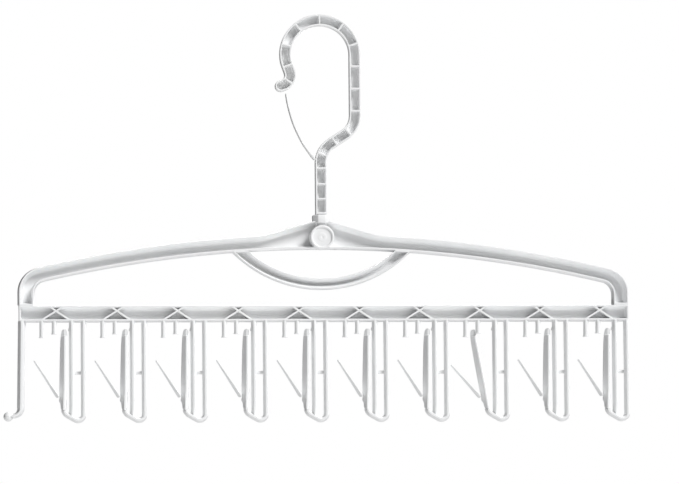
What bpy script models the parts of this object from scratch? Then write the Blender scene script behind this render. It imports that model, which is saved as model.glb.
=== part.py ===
"""Sock drying hanger: a ribbed swivel hook, a channel-section frame and ten sprung clips.

Frame: metres, +Z up, +X to the right as seen from the front, front towards -Y.
The origin is the rod seat: the middle of the hook's inner crown.
All lengths below are in millimetres and are turned into metres when a mesh is made.
"""

import math

import bmesh
import bpy
from mathutils import Matrix, Vector

MM = 0.001

# ---------------------------------------------------------------- dimensions
GAP = 0.3                 # clearance between pieces that meet

# hook: open channel, ribs across it
HOOK_WIDTH = 7.36         # across the band
HOOK_Y = 3.5              # half depth
HOOK_WEB_Y = 1.9          # floor of the channel
HOOK_RIM = 0.95           # wall thickness at the front
HOOK_RIB = 1.1            # cross rib thickness
CROWN_R = 22.87           # centreline radius of the arch
CROWN_FACETS = 23         # odd, so that one flat facet is centred on the crown
RIGHT_RUN = 40.1          # straight run on the right of the eye
BEND_R = 15.0             # both bends of the S
BEND_DEG = 57.0
STEM_RUN = 34.2           # straight stem
TIP_BACK_R, TIP_BACK_DEG = 19.7, 20.0
TIP_RUN = 4.6
TIP_R, TIP_DEG = 7.2, 95.0
TIP_END_RUN = 1.0
# distance of each cross rib from the foot of the stem, along the band
RIB_AT = (10.3, 20.1, 30.4, 39.6, 51.7, 62.7, 77.9, 92.6,
          107.4, 121.9, 136.2, 151.3, 166.5, 180.7, 194.5, 205.3)

# gate leaf, from its root on the stem up to its tip under the hook's tip
GATE_AXIS = (-4.9, -86.2)
# centreline and relative thickness, from the pointed foot of the root upwards
GATE_POINTS = ((-4.4, -88.6, 0.5), (-4.7, -87.2, 1.5), (-5.3, -85.9, 1.9), (-6.9, -84.5, 1.2),
               (-9.6, -81.0, 1.0), (-12.6, -76.2, 1.0), (-17.2, -66.3, 1.0),
               (-19.8, -58.4, 1.0), (-21.7, -50.5, 0.9), (-22.6, -44.9, 0.7))
GATE_THICK = 0.8
GATE_Y = 3.0

# swivel and hub
BARREL_R = 5.8
BARREL_TOP = -125.0
PIN_R, PIN_BORE_R = 2.5, 2.8
PIN_HEAD_R = 3.4
PIN_HEAD_Z = (-140.6, -136.9)
HEAD_ROOM_R = 3.75
HEAD_ROOM_Z = (-141.0, -136.6)
HUB_HALF = 9.0
CAP_Z = -139.95
CAP_R = 7.9
BOSS_FRONT_Y = -6.2
CAP_FRONT_Y = -8.0

# frame: channel section, wider at the back than at the front
FRAME_Y = 4.0
WEB_Y = 2.6
RIM = 0.95
FLARE = 0.7
ARM_BOTTOM_Z = -146.85    # lower edge at the middle
ARM_CREST_Z = -138.1      # upper arc, if it ran on to the middle
ARM_SAG_R = 797.0         # both long edges are arcs of this radius
PEAK_Z, PEAK_SLOPE = -127.6, 0.30   # the straight rise to the hub
LEFT_END, RIGHT_END = 198.4, 202.3   # the hook hangs a little left of the middle
FOOT_WIDTH = 9.6
CORNER_R = 16.0
CORNER_R_IN = 9.0

# bow below the shoulders
BOW_Z = -91.5
BOW_R_OUT, BOW_R_IN = 82.1, 75.3
BOW_TOP_Z = -149.0

# rail
RAIL_TOP, RAIL_BOTTOM = -184.5, -194.35
RAIL_WEB_Y = 2.6
RAIL_TOP_DRAFT = 1.3
RIB_T = 1.15
CROSS_Z = -189.75
CROSS_X0, PITCH = -174.4, 39.72
CLIPS = 10
# crossed ribs, from the crossing: foot and head of each
CROSS_RISE = ((-9.6, -4.3), (5.0, 4.9))
CROSS_FALL = ((9.1, -4.3), (-4.3, 4.9))
# the two pegs: place and length. They are shallow, and an arm's stepped tip passes behind them
PEGS = ((-9.1, 11.15), (-1.05, 8.85))
PEG_BACK_Y = -1.2

# strips that make the legs: narrow flat front, wider behind
CLIP_BACK_Y = 2.0         # the clips are shallower than the rail
STRIP_FRONT = 0.65        # half width of the flat front
STRIP_BACK = 1.75
STRIP_SHOULDER_Y = -0.6
INNER_X, OUTER_X = 10.45, 18.1
BAR_Z = (-229.4, -227.1)
FOOT_X, FOOT_Z = 10.05, -251.56      # centre of the foot's first arc
FOOT_R, FOOT_DEG, FOOT_START = 5.0, 60.0, 20.5
FOOT_RUN = 5.6
TURN_R = 3.63
CATCH_Z = -200.0

# spring arm: the line it bends about, then z and the four x of its section
# (back left, front left, front right, back right)
PIVOT_X, PIVOT_Z = 5.05, -251.0
ARM_ROWS = ((-252.85, 4.6, 4.9, 5.2, 5.5), (-252.4, 3.9, 4.5, 5.5, 6.2),
            (-251.6, 3.35, 4.4, 5.6, 6.75), (-250.6, 3.15, 4.4, 5.6, 6.95),
            (-248.4, 2.9, 4.45, 5.6, 7.05), (-246.2, 2.1, 4.6, 5.65, 7.1),
            (-243.3, 2.4, 4.7, 5.7, 7.2), (-237.5, 2.25, 4.9, 6.0, 7.3),
            (-224.5, 2.5, 5.1, 6.2, 7.45), (-211.5, 2.9, 5.2, 6.35, 7.5),
            (-205.0, 3.3, 5.3, 6.35, 7.5), (-201.6, 3.8, 5.45, 6.4, 7.4),
            (-200.3, 4.3, 5.6, 6.4, 7.15), (-199.6, 5.0, 5.8, 6.2, 6.6))
ARM_SHOULDER_Y = 0.4
STEP_Z, STEP_Y = -204.8, -0.9        # the tip is set back above this height
# tongue: root, tip, thickness at both, half depth and middle
TONGUE_ROOT = (0.95, -243.3)
TONGUE_TIP = (-14.3, -220.2)
TONGUE_THICK = (2.3, 0.9)
TONGUE_Y = (-3.4, 1.4)
# this clip is stored sprung open; its tongue, against its neighbour, turns less
OPEN_CLIP, OPEN_DEG, OPEN_TONGUE_DEG = 8, 11.2, 8.6

# end leg with a ball tip
END_X = -196.4
END_HALF, END_FRONT = 2.5, 0.8
END_RUN, END_BEND_R, END_BEND_DEG, END_CURL = 56.6, 5.2, 78.0, 2.4
BALL_R = 3.1


# ------------------------------------------------------------------- helpers
def clear_scene():
    for obj in list(bpy.data.objects):
        bpy.data.objects.remove(obj, do_unlink=True)


def plastic(name, rgb, roughness=0.32):
    mat = bpy.data.materials.new(name)
    mat.use_nodes = True
    shader = mat.node_tree.nodes["Principled BSDF"]
    shader.inputs["Base Color"].default_value = (*rgb, 1.0)
    shader.inputs["Roughness"].default_value = roughness
    shader.inputs["Metallic"].default_value = 0.0
    return mat


def link(obj, mat=None, helper=False):
    bpy.context.scene.collection.objects.link(obj)
    if mat is not None:
        obj.data.materials.append(mat)
    if helper:
        obj.hide_render = True
        obj.display_type = "WIRE"
    return obj


def mesh_from(name, verts, faces):
    """A mesh in metres from points in millimetres, normals outward."""
    bm = bmesh.new()
    made = [bm.verts.new((v[0] * MM, v[1] * MM, v[2] * MM)) for v in verts]
    for face in faces:
        bm.faces.new([made[i] for i in face])
    bmesh.ops.recalc_face_normals(bm, faces=bm.faces)
    mesh = bpy.data.meshes.new(name)
    bm.to_mesh(mesh)
    bm.free()
    return mesh


def smooth(obj, degrees=35.0):
    obj.data.shade_smooth()
    obj.data.set_sharp_from_angle(angle=math.radians(degrees))


def walk(x, z, heading, moves, step_deg=9.0):
    """Nodes (x, z, heading) along straight runs ('L', mm) and arcs ('A', radius, degrees).

    A positive arc turns left. An arc's count of segments may be given as a fourth value.
    """
    nodes = [(x, z, heading)]
    for move in moves:
        if move[0] == "L":
            x += math.cos(math.radians(heading)) * move[1]
            z += math.sin(math.radians(heading)) * move[1]
            nodes.append((x, z, heading))
            continue
        radius, turn = move[1], move[2]
        count = move[3] if len(move) > 3 else max(2, round(abs(turn) / step_deg))
        side = 1.0 if turn > 0 else -1.0
        cx = x + math.cos(math.radians(heading + 90 * side)) * radius
        cz = z + math.sin(math.radians(heading + 90 * side)) * radius
        start = heading - 90 * side
        for k in range(1, count + 1):
            a = math.radians(start + turn * k / count)
            nodes.append((cx + math.cos(a) * radius, cz + math.sin(a) * radius,
                          heading + turn * k / count))
        x, z = nodes[-1][:2]
        heading += turn
    return nodes


def side_point(node, offset):
    """A point beside a node: positive offset to the left of the direction of travel."""
    a = math.radians(node[2] + 90)
    return (node[0] + math.cos(a) * offset, node[1] + math.sin(a) * offset)


def lerp(a, b, t):
    return tuple(p + (q - p) * t for p, q in zip(a, b))


def toward(a, b, distance):
    """The point at this distance from a on the line to b."""
    length = math.hypot(b[0] - a[0], b[1] - a[1])
    return lerp(a, b, distance / length)


def channel(name, left, right, rim, y_front, y_back, web_y, flare, pockets):
    """A band between two edge lines, flat at the back, with open pockets sunk in its front.

    left and right are lists of (x, z) at the front. pockets are (first, last) stations.
    The back is wider than the front by flare on each side.
    """
    verts, faces, rows = [], [], []

    def add(point, y):
        verts.append((point[0], y, point[1]))
        return len(verts) - 1

    for a, b in zip(left, right):
        a_back, b_back = toward(a, b, -flare), toward(b, a, -flare)
        a_in, b_in = toward(a, b, rim), toward(b, a, rim)
        rows.append((add(a_back, y_back), add(a, y_front), add(a_in, y_front),
                     add(b_in, y_front), add(b, y_front), add(b_back, y_back)))
    floor = {}
    for first, last in pockets:
        for i in range(first, last + 1):
            a_in, b_in = toward(left[i], right[i], rim), toward(right[i], left[i], rim)
            floor[i, first] = (add(a_in, web_y), add(b_in, web_y))
    owner = {i: first for first, last in pockets for i in range(first, last)}
    for i in range(len(rows) - 1):
        p, q = rows[i], rows[i + 1]
        for k in range(6):
            if k == 2:
                continue
            n = (k + 1) % 6
            faces.append((p[k], p[n], q[n], q[k]))
        if i in owner:
            pa, pb = floor[i, owner[i]]
            qa, qb = floor[i + 1, owner[i]]
            faces += [(p[2], pa, qa, q[2]), (pa, pb, qb, qa), (pb, p[3], q[3], qb)]
        else:
            faces.append((p[2], p[3], q[3], q[2]))
    for first, last in pockets:
        for i in (first, last):
            a, b = floor[i, first]
            faces.append((rows[i][2], rows[i][3], b, a))
    faces.append(rows[0])
    faces.append(tuple(reversed(rows[-1])))
    return mesh_from(name, verts, faces)


def add_stations(left, right, arc, wanted):
    """Put extra stations at these distances along the band, on its straight facets."""
    out = []
    wanted = sorted(wanted)
    for i in range(len(arc)):
        out.append((arc[i], left[i], right[i]))
        if i + 1 == len(arc):
            break
        for s in wanted:
            if arc[i] + 0.05 < s < arc[i + 1] - 0.05:
                t = (s - arc[i]) / (arc[i + 1] - arc[i])
                out.append((s, lerp(left[i], left[i + 1], t), lerp(right[i], right[i + 1], t)))
    return out


def arc_lengths(nodes):
    arc = [0.0]
    for p, q in zip(nodes, nodes[1:]):
        arc.append(arc[-1] + math.hypot(q[0] - p[0], q[1] - p[1]))
    return arc


def strip_section(front, back, shoulder_y, y0, y1):
    """Section of a strip as (offset to the left, y): narrow flat front, straight sides behind."""
    return ((front, y0), (back, shoulder_y), (back, y1), (-back, y1), (-back, shoulder_y), (-front, y0))


def loft(name, rows):
    """A solid through rows of (x, y, z) points, each row a closed section."""
    verts = [point for row in rows for point in row]
    count = len(rows[0])
    faces = []
    for i in range(len(rows) - 1):
        for k in range(count):
            n = (k + 1) % count
            faces.append((i * count + k, i * count + n,
                          (i + 1) * count + n, (i + 1) * count + k))
    faces.append(tuple(range(count)))
    last = (len(rows) - 1) * count
    faces.append(tuple(last + k for k in reversed(range(count))))
    return mesh_from(name, verts, faces)


def under_rail(y):
    """Height at which a piece under the rail stops short of its sloping underside."""
    return RAIL_BOTTOM - GAP - FLARE * (y + FRAME_Y) / (2 * FRAME_Y)


def set_heights(mesh, picked, height):
    """Move the picked vertices to height(x, y), all in millimetres."""
    for vertex in mesh.vertices:
        x, y, z = (c / MM for c in vertex.co)
        if picked(x, y, z):
            vertex.co.z = height(x, y) * MM


def sweep(name, nodes, section, scale=None):
    """A solid strip along the nodes, with the section's offsets across the path."""
    rows = []
    for k, node in enumerate(nodes):
        grow = 1.0 if scale is None else scale[k]
        row = []
        for offset, y in section:
            x, z = side_point(node, offset * grow)
            row.append((x, y, z))
        rows.append(row)
    return loft(name, rows)


def box_mesh(name, low, high):
    (x0, y0, z0), (x1, y1, z1) = low, high
    verts = [(x, y, z) for x in (x0, x1) for y in (y0, y1) for z in (z0, z1)]
    faces = [(0, 1, 3, 2), (4, 6, 7, 5), (0, 4, 5, 1), (2, 3, 7, 6), (0, 2, 6, 4), (1, 5, 7, 3)]
    return mesh_from(name, verts, faces)


def prism_mesh(name, outline, y0, y1, inner=None):
    """A straight or tapered prism: outline at y0 and inner (or the same outline) at y1."""
    inner = inner or outline
    n = len(outline)
    verts = [(x, y0, z) for x, z in outline] + [(x, y1, z) for x, z in inner]
    faces = [tuple(range(n)), tuple(reversed(range(n, 2 * n)))]
    faces += [(i, (i + 1) % n, (i + 1) % n + n, i + n) for i in range(n)]
    return mesh_from(name, verts, faces)


def turned_mesh(name, profile, centre, axis, sides=32, phase=0.5):
    """A solid turned round an axis through centre. profile is (radius, distance along axis)."""
    verts, faces = [], []
    n = len(profile)
    for k in range(sides):
        a = 2 * math.pi * (k + phase) / sides
        for r, t in profile:
            if axis == "Z":
                verts.append((centre[0] + r * math.cos(a), centre[1] + r * math.sin(a), centre[2] + t))
            else:
                verts.append((centre[0] + r * math.cos(a), centre[1] + t, centre[2] + r * math.sin(a)))
    for k in range(sides):
        m = (k + 1) % sides
        for i in range(n - 1):
            faces.append((k * n + i, k * n + i + 1, m * n + i + 1, m * n + i))
    faces.append(tuple(k * n for k in range(sides)))
    faces.append(tuple(k * n + n - 1 for k in reversed(range(sides))))
    return mesh_from(name, verts, faces)


def joined(name, meshes):
    """One mesh from several; its bodies stay separate until a Boolean joins them."""
    bm = bmesh.new()
    for mesh in meshes:
        bm.from_mesh(mesh)
    mesh = bpy.data.meshes.new(name)
    bm.to_mesh(mesh)
    bm.free()
    return mesh


def boolean(obj, mesh, operation, label):
    helper = link(bpy.data.objects.new(obj.name + "." + label, mesh), helper=True)
    mod = obj.modifiers.new(label, "BOOLEAN")
    mod.operation = operation
    mod.solver = "EXACT"
    mod.object = helper
    return helper


def settled(obj):
    """The object's mesh with its modifiers applied, as a new mesh."""
    bpy.context.view_layer.update()
    graph = bpy.context.evaluated_depsgraph_get()
    return bpy.data.meshes.new_from_object(obj.evaluated_get(graph))


# ---------------------------------------------------------------------- hook
def hook_nodes():
    slant = math.radians(BEND_DEG)
    run = (CROWN_R - 2 * BEND_R * (1 - math.cos(slant))) / math.sin(slant)
    moves = (("L", STEM_RUN), ("A", BEND_R, -BEND_DEG, 7), ("L", run),
             ("A", BEND_R, BEND_DEG, 7), ("L", RIGHT_RUN), ("A", CROWN_R, 180.0, CROWN_FACETS),
             ("A", TIP_BACK_R, TIP_BACK_DEG, 3), ("L", TIP_RUN),
             ("A", TIP_R, -TIP_DEG, 9), ("L", TIP_END_RUN))
    nodes = walk(0.0, 0.0, 90.0, moves)
    half = HOOK_WIDTH / 2
    # the crown facet's inner side sits at Z = 0
    first = 1 + 7 + 1 + 7 + 1 + (CROWN_FACETS - 1) // 2
    inner = side_point(nodes[first], half)[1]
    return [(x, z - inner, h) for x, z, h in nodes]


def make_hook(mat):
    nodes = hook_nodes()
    half = HOOK_WIDTH / 2
    arc = arc_lengths(nodes)
    left = [side_point(n, half) for n in nodes]
    right = [side_point(n, -half) for n in nodes]
    edges = [HOOK_RIM + 0.35]
    for s in RIB_AT:
        edges += [s - HOOK_RIB / 2, s + HOOK_RIB / 2]
    edges.append(arc[-1] - 0.1)
    stations = add_stations(left, right, arc, edges[:-1])
    pockets = []
    for k in range(0, len(edges), 2):
        start = min(range(len(stations)), key=lambda i: abs(stations[i][0] - edges[k]))
        stop = min(range(len(stations)), key=lambda i: abs(stations[i][0] - edges[k + 1]))
        pockets.append((start, stop))
    left = [s[1] for s in stations]
    right = [s[2] for s in stations]
    # round end of the tip
    end, heading = nodes[-1], nodes[-1][2]
    for k in range(1, 7):
        a = math.radians(k * 90 / 6.6)
        ahead, w = half * math.sin(a), half * math.cos(a)
        x = end[0] + math.cos(math.radians(heading)) * ahead
        z = end[1] + math.sin(math.radians(heading)) * ahead
        left.append(side_point((x, z, heading), w))
        right.append(side_point((x, z, heading), -w))
    # the rim narrows with the band, so the last few stations carry a thinner one
    verts_mesh = channel_round("hook", left, right, HOOK_RIM, pockets)
    return smooth_link("hook", verts_mesh, mat), nodes


def channel_round(name, left, right, rim, pockets):
    """The hook's channel. Its rim is limited to a third of the band where the tip rounds off."""
    verts, faces, rows = [], [], []

    def add(point, y):
        verts.append((point[0], y, point[1]))
        return len(verts) - 1

    for a, b in zip(left, right):
        wide = math.hypot(b[0] - a[0], b[1] - a[1])
        r = min(rim, wide / 3)
        rows.append((add(a, HOOK_Y), add(a, -HOOK_Y), add(toward(a, b, r), -HOOK_Y),
                     add(toward(b, a, r), -HOOK_Y), add(b, -HOOK_Y), add(b, HOOK_Y)))
    floor, owner = {}, {}
    for first, last in pockets:
        for i in range(first, last + 1):
            floor[i, first] = (add(toward(left[i], right[i], rim), HOOK_WEB_Y),
                               add(toward(right[i], left[i], rim), HOOK_WEB_Y))
        for i in range(first, last):
            owner[i] = first
    for i in range(len(rows) - 1):
        p, q = rows[i], rows[i + 1]
        for k in (0, 1, 3, 4, 5):
            n = (k + 1) % 6
            faces.append((p[k], p[n], q[n], q[k]))
        if i in owner:
            pa, pb = floor[i, owner[i]]
            qa, qb = floor[i + 1, owner[i]]
            faces += [(p[2], pa, qa, q[2]), (pa, pb, qb, qa), (pb, p[3], q[3], qb)]
        else:
            faces.append((p[2], p[3], q[3], q[2]))
    for first, last in pockets:
        for i in (first, last):
            a, b = floor[i, first]
            faces.append((rows[i][2], rows[i][3], b, a))
    faces.append(rows[0])
    faces.append(tuple(reversed(rows[-1])))
    return mesh_from(name, verts, faces)


def smooth_link(name, mesh, mat, degrees=35.0):
    obj = link(bpy.data.objects.new(name, mesh), mat)
    smooth(obj, degrees)
    return obj


def make_gate(mat):
    """The leaf with its root block; its origin is on the root's bending axis."""
    nodes = []
    for i, (x, z, _) in enumerate(GATE_POINTS):
        before = GATE_POINTS[max(0, i - 1)]
        after = GATE_POINTS[min(len(GATE_POINTS) - 1, i + 1)]
        nodes.append((x, z, math.degrees(math.atan2(after[1] - before[1], after[0] - before[0]))))
    half = GATE_THICK / 2
    section = ((half, -GATE_Y), (half, GATE_Y), (-half, GATE_Y), (-half, -GATE_Y))
    mesh = sweep("hook_gate", nodes, section, scale=[p[2] for p in GATE_POINTS])
    obj = smooth_link("hook_gate", mesh, mat, 50)
    place_origin(obj, (GATE_AXIS[0], 0.0, GATE_AXIS[1]))
    return obj


def place_origin(obj, point_mm):
    """Move the object's origin to a joint axis without moving its shape."""
    offset = Vector(point_mm) * MM
    obj.data.transform(Matrix.Translation(-offset))
    obj.location = offset


# ----------------------------------------------------------------------- hub
def make_swivel(pin_mat, mat, cap_mat, stem_foot):
    top = stem_foot - GAP
    low, high = PIN_HEAD_Z
    pin = turned_mesh("swivel_pin", ((PIN_R, 0.0), (PIN_R, high - top), (PIN_HEAD_R, high - top),
                                     (PIN_HEAD_R, high - top - 1.8), (PIN_HEAD_R - 1.3, low - top)),
                      (0.0, 0.0, top), "Z", sides=24)
    smooth_link("swivel_pin", pin, pin_mat)

    side = BARREL_R - 1.0
    hub = [(-HUB_HALF, peak(HUB_HALF)), (-HUB_HALF, arm_bottom(HUB_HALF)),
           (-HUB_HALF / 2, arm_bottom(HUB_HALF / 2)), (HUB_HALF / 2, arm_bottom(HUB_HALF / 2)),
           (HUB_HALF, arm_bottom(HUB_HALF)), (HUB_HALF, peak(HUB_HALF)),
           (side, peak(side)), (-side, peak(side))]
    obj = smooth_link("swivel_barrel", prism_mesh("swivel_barrel", hub, -FRAME_Y, FRAME_Y), mat)
    # round collar on top, then a slimmer housing round the pin's head
    barrel = turned_mesh("barrel", ((BARREL_R - 0.9, 0.0), (BARREL_R, -0.9), (BARREL_R, -5.6),
                                    (BARREL_R - 0.7, -6.6), (BARREL_R - 0.7, -17.4),
                                    (BARREL_R - 1.9, -18.4)),
                         (0.0, 0.0, BARREL_TOP), "Z", sides=32)
    boolean(obj, barrel, "UNION", "barrel")
    boss = turned_mesh("boss", ((CAP_R, 0.0), (CAP_R, 6.0)), (0.0, BOSS_FRONT_Y, CAP_Z), "Y", 40)
    boolean(obj, boss, "UNION", "boss")
    bore = turned_mesh("bore", ((PIN_BORE_R, 1.0), (PIN_BORE_R, -14.0)),
                       (0.0, 0.0, BARREL_TOP), "Z", sides=24)
    boolean(obj, bore, "DIFFERENCE", "bore")
    z0, z1 = HEAD_ROOM_Z
    room = turned_mesh("room", ((HEAD_ROOM_R, 0.0), (HEAD_ROOM_R, z1 - z0)), (0.0, 0.0, z0), "Z", 24)
    boolean(obj, room, "DIFFERENCE", "room")
    mouth = box_mesh("mouth", (-HEAD_ROOM_R + 0.1, BOSS_FRONT_Y - 1.0, z0 + 0.1),
                     (HEAD_ROOM_R - 0.1, 0.0, z1 - 0.1))
    boolean(obj, mouth, "DIFFERENCE", "mouth")

    # a thin disc with a raised ring round its edge
    ring, deep = 1.0, CAP_FRONT_Y - BOSS_FRONT_Y + GAP
    cap = turned_mesh("hub_cap", ((CAP_R, 0.0), (CAP_R, deep + 0.4), (CAP_R - 0.4, deep),
                                  (CAP_R - ring, deep), (CAP_R - ring - 0.3, deep + 0.5)),
                      (0.0, BOSS_FRONT_Y - GAP, CAP_Z), "Y", sides=40)
    smooth_link("hub_cap", cap, cap_mat)


# --------------------------------------------------------------------- frame
def arm_bottom(x):
    return ARM_BOTTOM_Z - x * x / (2 * ARM_SAG_R)


def peak(x):
    return PEAK_Z - PEAK_SLOPE * abs(x)


def arm_top(x):
    """The rise to the hub and the long arc, blended over a few millimetres."""
    a = peak(x)
    b = ARM_CREST_Z - x * x / (2 * ARM_SAG_R)
    k = 1.2
    return k * math.log(math.exp((a + 150) / k) + math.exp((b + 150) / k)) - 150


def arc_points(cx, cz, radius, start, stop, count):
    return [(cx + radius * math.cos(math.radians(start + (stop - start) * i / count)),
             cz + radius * math.sin(math.radians(start + (stop - start) * i / count)))
            for i in range(count + 1)]


def arm_edges(reach):
    """Upper and lower edge of a shoulder from the hub to its foot, reach from the middle."""
    slope_out = math.degrees(math.atan((reach - CORNER_R) / ARM_SAG_R))
    foot = RAIL_TOP + FLARE + GAP
    # outer corner: tangent to the arc at its start, vertical at its end
    cx = reach - CORNER_R
    x_start = cx + CORNER_R * math.sin(math.radians(slope_out))
    top_z = arm_top(x_start)
    cz = top_z - CORNER_R * math.cos(math.radians(slope_out))
    inner_x = reach - FOOT_WIDTH
    ix = inner_x - CORNER_R_IN
    x_in = ix + CORNER_R_IN * math.sin(math.radians(slope_out))
    iz = arm_bottom(x_in) - CORNER_R_IN * math.cos(math.radians(slope_out))
    upper, lower = [], []
    start = HUB_HALF + GAP
    xs = [start, 14, 19, 24, 29, 33, 37, 41, 46, 52, 62, 76, 92, 108, 124, 140, 156, 170]
    for x in xs:
        upper.append((x, arm_top(x)))
        lower.append((x - 0.0, arm_bottom(x)))
    upper.append((x_start, top_z))
    lower.append((x_in - 1.0, arm_bottom(x_in - 1.0)))
    steps = 7
    upper += arc_points(cx, cz, CORNER_R, 90 - slope_out, 0, steps)[1:]
    lower += arc_points(ix, iz, CORNER_R_IN, 90 - slope_out, 0, steps)[1:]
    upper.append((reach, foot))
    lower.append((inner_x, foot))
    return upper, lower


def make_arms(mat):
    for name, sign, reach in (("right_arm", 1.0, RIGHT_END), ("left_arm", -1.0, LEFT_END)):
        upper, lower = arm_edges(reach)
        last = len(upper) - 1
        foot = upper[-1][1]
        a = [(sign * x, z) for x, z in upper]
        b = [(sign * x, z) for x, z in lower]
        # short solid ends close the channel at the hub and at the foot
        a2 = [a[0], toward(a[0], a[1], RIM)] + a[1:-1] + [toward(a[-1], a[-2], RIM), a[-1]]
        b2 = [b[0], toward(b[0], b[1], RIM)] + b[1:-1] + [toward(b[-1], b[-2], RIM), b[-1]]
        mesh = channel(name, a2, b2, RIM, -FRAME_Y, FRAME_Y, WEB_Y, FLARE, [(1, last + 1)])
        # the foot follows the rail's sloping top
        set_heights(mesh, lambda x, y, z: z < foot + 0.01,
                    lambda x, y: RAIL_TOP + GAP + FLARE * (y + FRAME_Y) / (2 * FRAME_Y))
        smooth_link(name, mesh, mat)


def make_bow(mat):
    out_a = math.degrees(math.acos((BOW_Z - BOW_TOP_Z) / BOW_R_OUT))
    in_a = math.degrees(math.acos((BOW_Z - BOW_TOP_Z) / BOW_R_IN))
    count = 18
    outer = arc_points(0.0, BOW_Z, BOW_R_OUT, 270 - out_a, 270 + out_a, count)
    inner = arc_points(0.0, BOW_Z, BOW_R_IN, 270 - in_a, 270 + in_a, count)
    mesh = channel("grip_bow", inner, outer, RIM, -FRAME_Y, FRAME_Y, WEB_Y, 0.35, [(1, count - 1)])
    # both ends follow the sloping underside of the shoulders
    tops = inner[0], outer[0]
    set_heights(mesh, lambda x, y, z: z > BOW_TOP_Z - 0.25 and abs(x) > min(abs(tops[0][0]), 40.0),
                lambda x, y: arm_bottom(x) - GAP - FLARE * (y + FRAME_Y) / (2 * FRAME_Y))
    smooth_link("grip_bow", mesh, mat)


# ---------------------------------------------------------------------- rail
def cross_x(i):
    return CROSS_X0 + PITCH * i


def bar_outline(p, q, thick):
    """Four corners of a bar from p to q."""
    length = math.hypot(q[0] - p[0], q[1] - p[1])
    nx, nz = -(q[1] - p[1]) / length * thick / 2, (q[0] - p[0]) / length * thick / 2
    return [(p[0] + nx, p[1] + nz), (p[0] - nx, p[1] - nz),
            (q[0] - nx, q[1] - nz), (q[0] + nx, q[1] + nz)]


def make_rail(mat):
    left, right = -LEFT_END, RIGHT_END
    front = [(left, RAIL_BOTTOM), (right, RAIL_BOTTOM), (right, RAIL_TOP), (left, RAIL_TOP)]
    back = [(left - 0.2, RAIL_BOTTOM - FLARE), (right + 0.2, RAIL_BOTTOM - FLARE),
            (right + 0.2, RAIL_TOP + FLARE), (left - 0.2, RAIL_TOP + FLARE)]
    obj = smooth_link("clip_rail", prism_mesh("clip_rail", front, -FRAME_Y, FRAME_Y, back), mat)
    low, high = RAIL_BOTTOM + RIM, RAIL_TOP - RIM
    start, stop = left + RIM, right - RIM
    over = 1.0
    grow = RAIL_TOP_DRAFT / (RAIL_WEB_Y + FRAME_Y) * over
    mouth = [(start, low), (stop, low), (stop, high + grow), (start, high + grow)]
    floor = [(start, low), (stop, low), (stop, high - RAIL_TOP_DRAFT), (start, high - RAIL_TOP_DRAFT)]
    boolean(obj, prism_mesh("trough", mouth, -FRAME_Y - over, RAIL_WEB_Y, floor), "DIFFERENCE", "trough")
    bars = []
    for i in range(CLIPS):
        cx = cross_x(i)
        for foot, head in (CROSS_RISE, CROSS_FALL):
            p = (cx + foot[0], CROSS_Z + foot[1])
            q = (cx + head[0], CROSS_Z + head[1])
            bars.append(bar_outline(p, q, RIB_T))
    rising = [prism_mesh("rib", bars[k], -FRAME_Y + 0.1, RAIL_WEB_Y + 0.6) for k in range(0, 2 * CLIPS, 2)]
    falling = [prism_mesh("rib", bars[k], -FRAME_Y + 0.2, RAIL_WEB_Y + 0.7) for k in range(1, 2 * CLIPS, 2)]
    boolean(obj, joined("rising_ribs", rising), "UNION", "rising")
    boolean(obj, joined("falling_ribs", falling), "UNION", "falling")
    pegs = []
    section = strip_section(0.5, 1.55, -2.4, 0.1 - FRAME_Y, PEG_BACK_Y)
    for i in range(CLIPS):
        for dx, length in PEGS:
            x = cross_x(i) + dx
            z = RAIL_BOTTOM
            nodes = [(x, z + 0.6, 270.0), (x, z - length + 1.1, 270.0), (x, z - length, 270.0)]
            pegs.append(sweep("peg", nodes, section, scale=[1.0, 1.0, 1.35]))
    boolean(obj, joined("pegs", pegs), "UNION", "pegs")
    return obj


# --------------------------------------------------------------------- clips
def leg_mesh():
    """The looped leg at crossing x = 0, its parts joined into one solid."""
    section = strip_section(STRIP_FRONT, STRIP_BACK, STRIP_SHOULDER_Y, -FRAME_Y, CLIP_BACK_Y)
    a = math.radians(FOOT_START)
    band = walk(FOOT_X - FOOT_R * math.cos(a), FOOT_Z - FOOT_R * math.sin(a), -90.0 + FOOT_START,
                (("A", FOOT_R, FOOT_DEG - FOOT_START, 4), ("L", FOOT_RUN), ("A", TURN_R, 120.0, 10)))
    shift = OUTER_X - band[-1][0]
    band = [(x + shift * k / (len(band) - 1), z, h) for k, (x, z, h) in enumerate(band)]
    top = under_rail(0.0)
    band.append((OUTER_X, top, 90.0))
    outer = sweep("leg_band", band, section)
    inner_section = strip_section(STRIP_FRONT, STRIP_BACK, STRIP_SHOULDER_Y,
                                  -FRAME_Y, CLIP_BACK_Y - 0.1)
    inner = sweep("inner_strip", [(INNER_X, top, 270.0), (INNER_X, -257.4, 270.0)], inner_section)
    for mesh in (outer, inner):
        set_heights(mesh, lambda x, y, z: z > top - 0.01, lambda x, y: under_rail(y))
    template = link(bpy.data.objects.new("leg_template", outer), helper=True)
    boolean(template, inner, "UNION", "inner")
    boolean(template, box_mesh("bar", (INNER_X, -2.2, BAR_Z[0]), (OUTER_X, CLIP_BACK_Y - 0.3, BAR_Z[1])),
            "UNION", "bar")
    left = INNER_X - STRIP_BACK
    catch = [(left - 0.75, CATCH_Z - 0.9), (left + 0.6, CATCH_Z - 0.9), (left + 0.6, CATCH_Z + 2.2),
             (left - 0.2, CATCH_Z + 1.2)]
    boolean(template, prism_mesh("catch", catch, STRIP_SHOULDER_Y, CLIP_BACK_Y - 0.2), "UNION", "catch")
    mesh = settled(template)
    mesh.name = "clip_leg"
    return mesh


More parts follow.
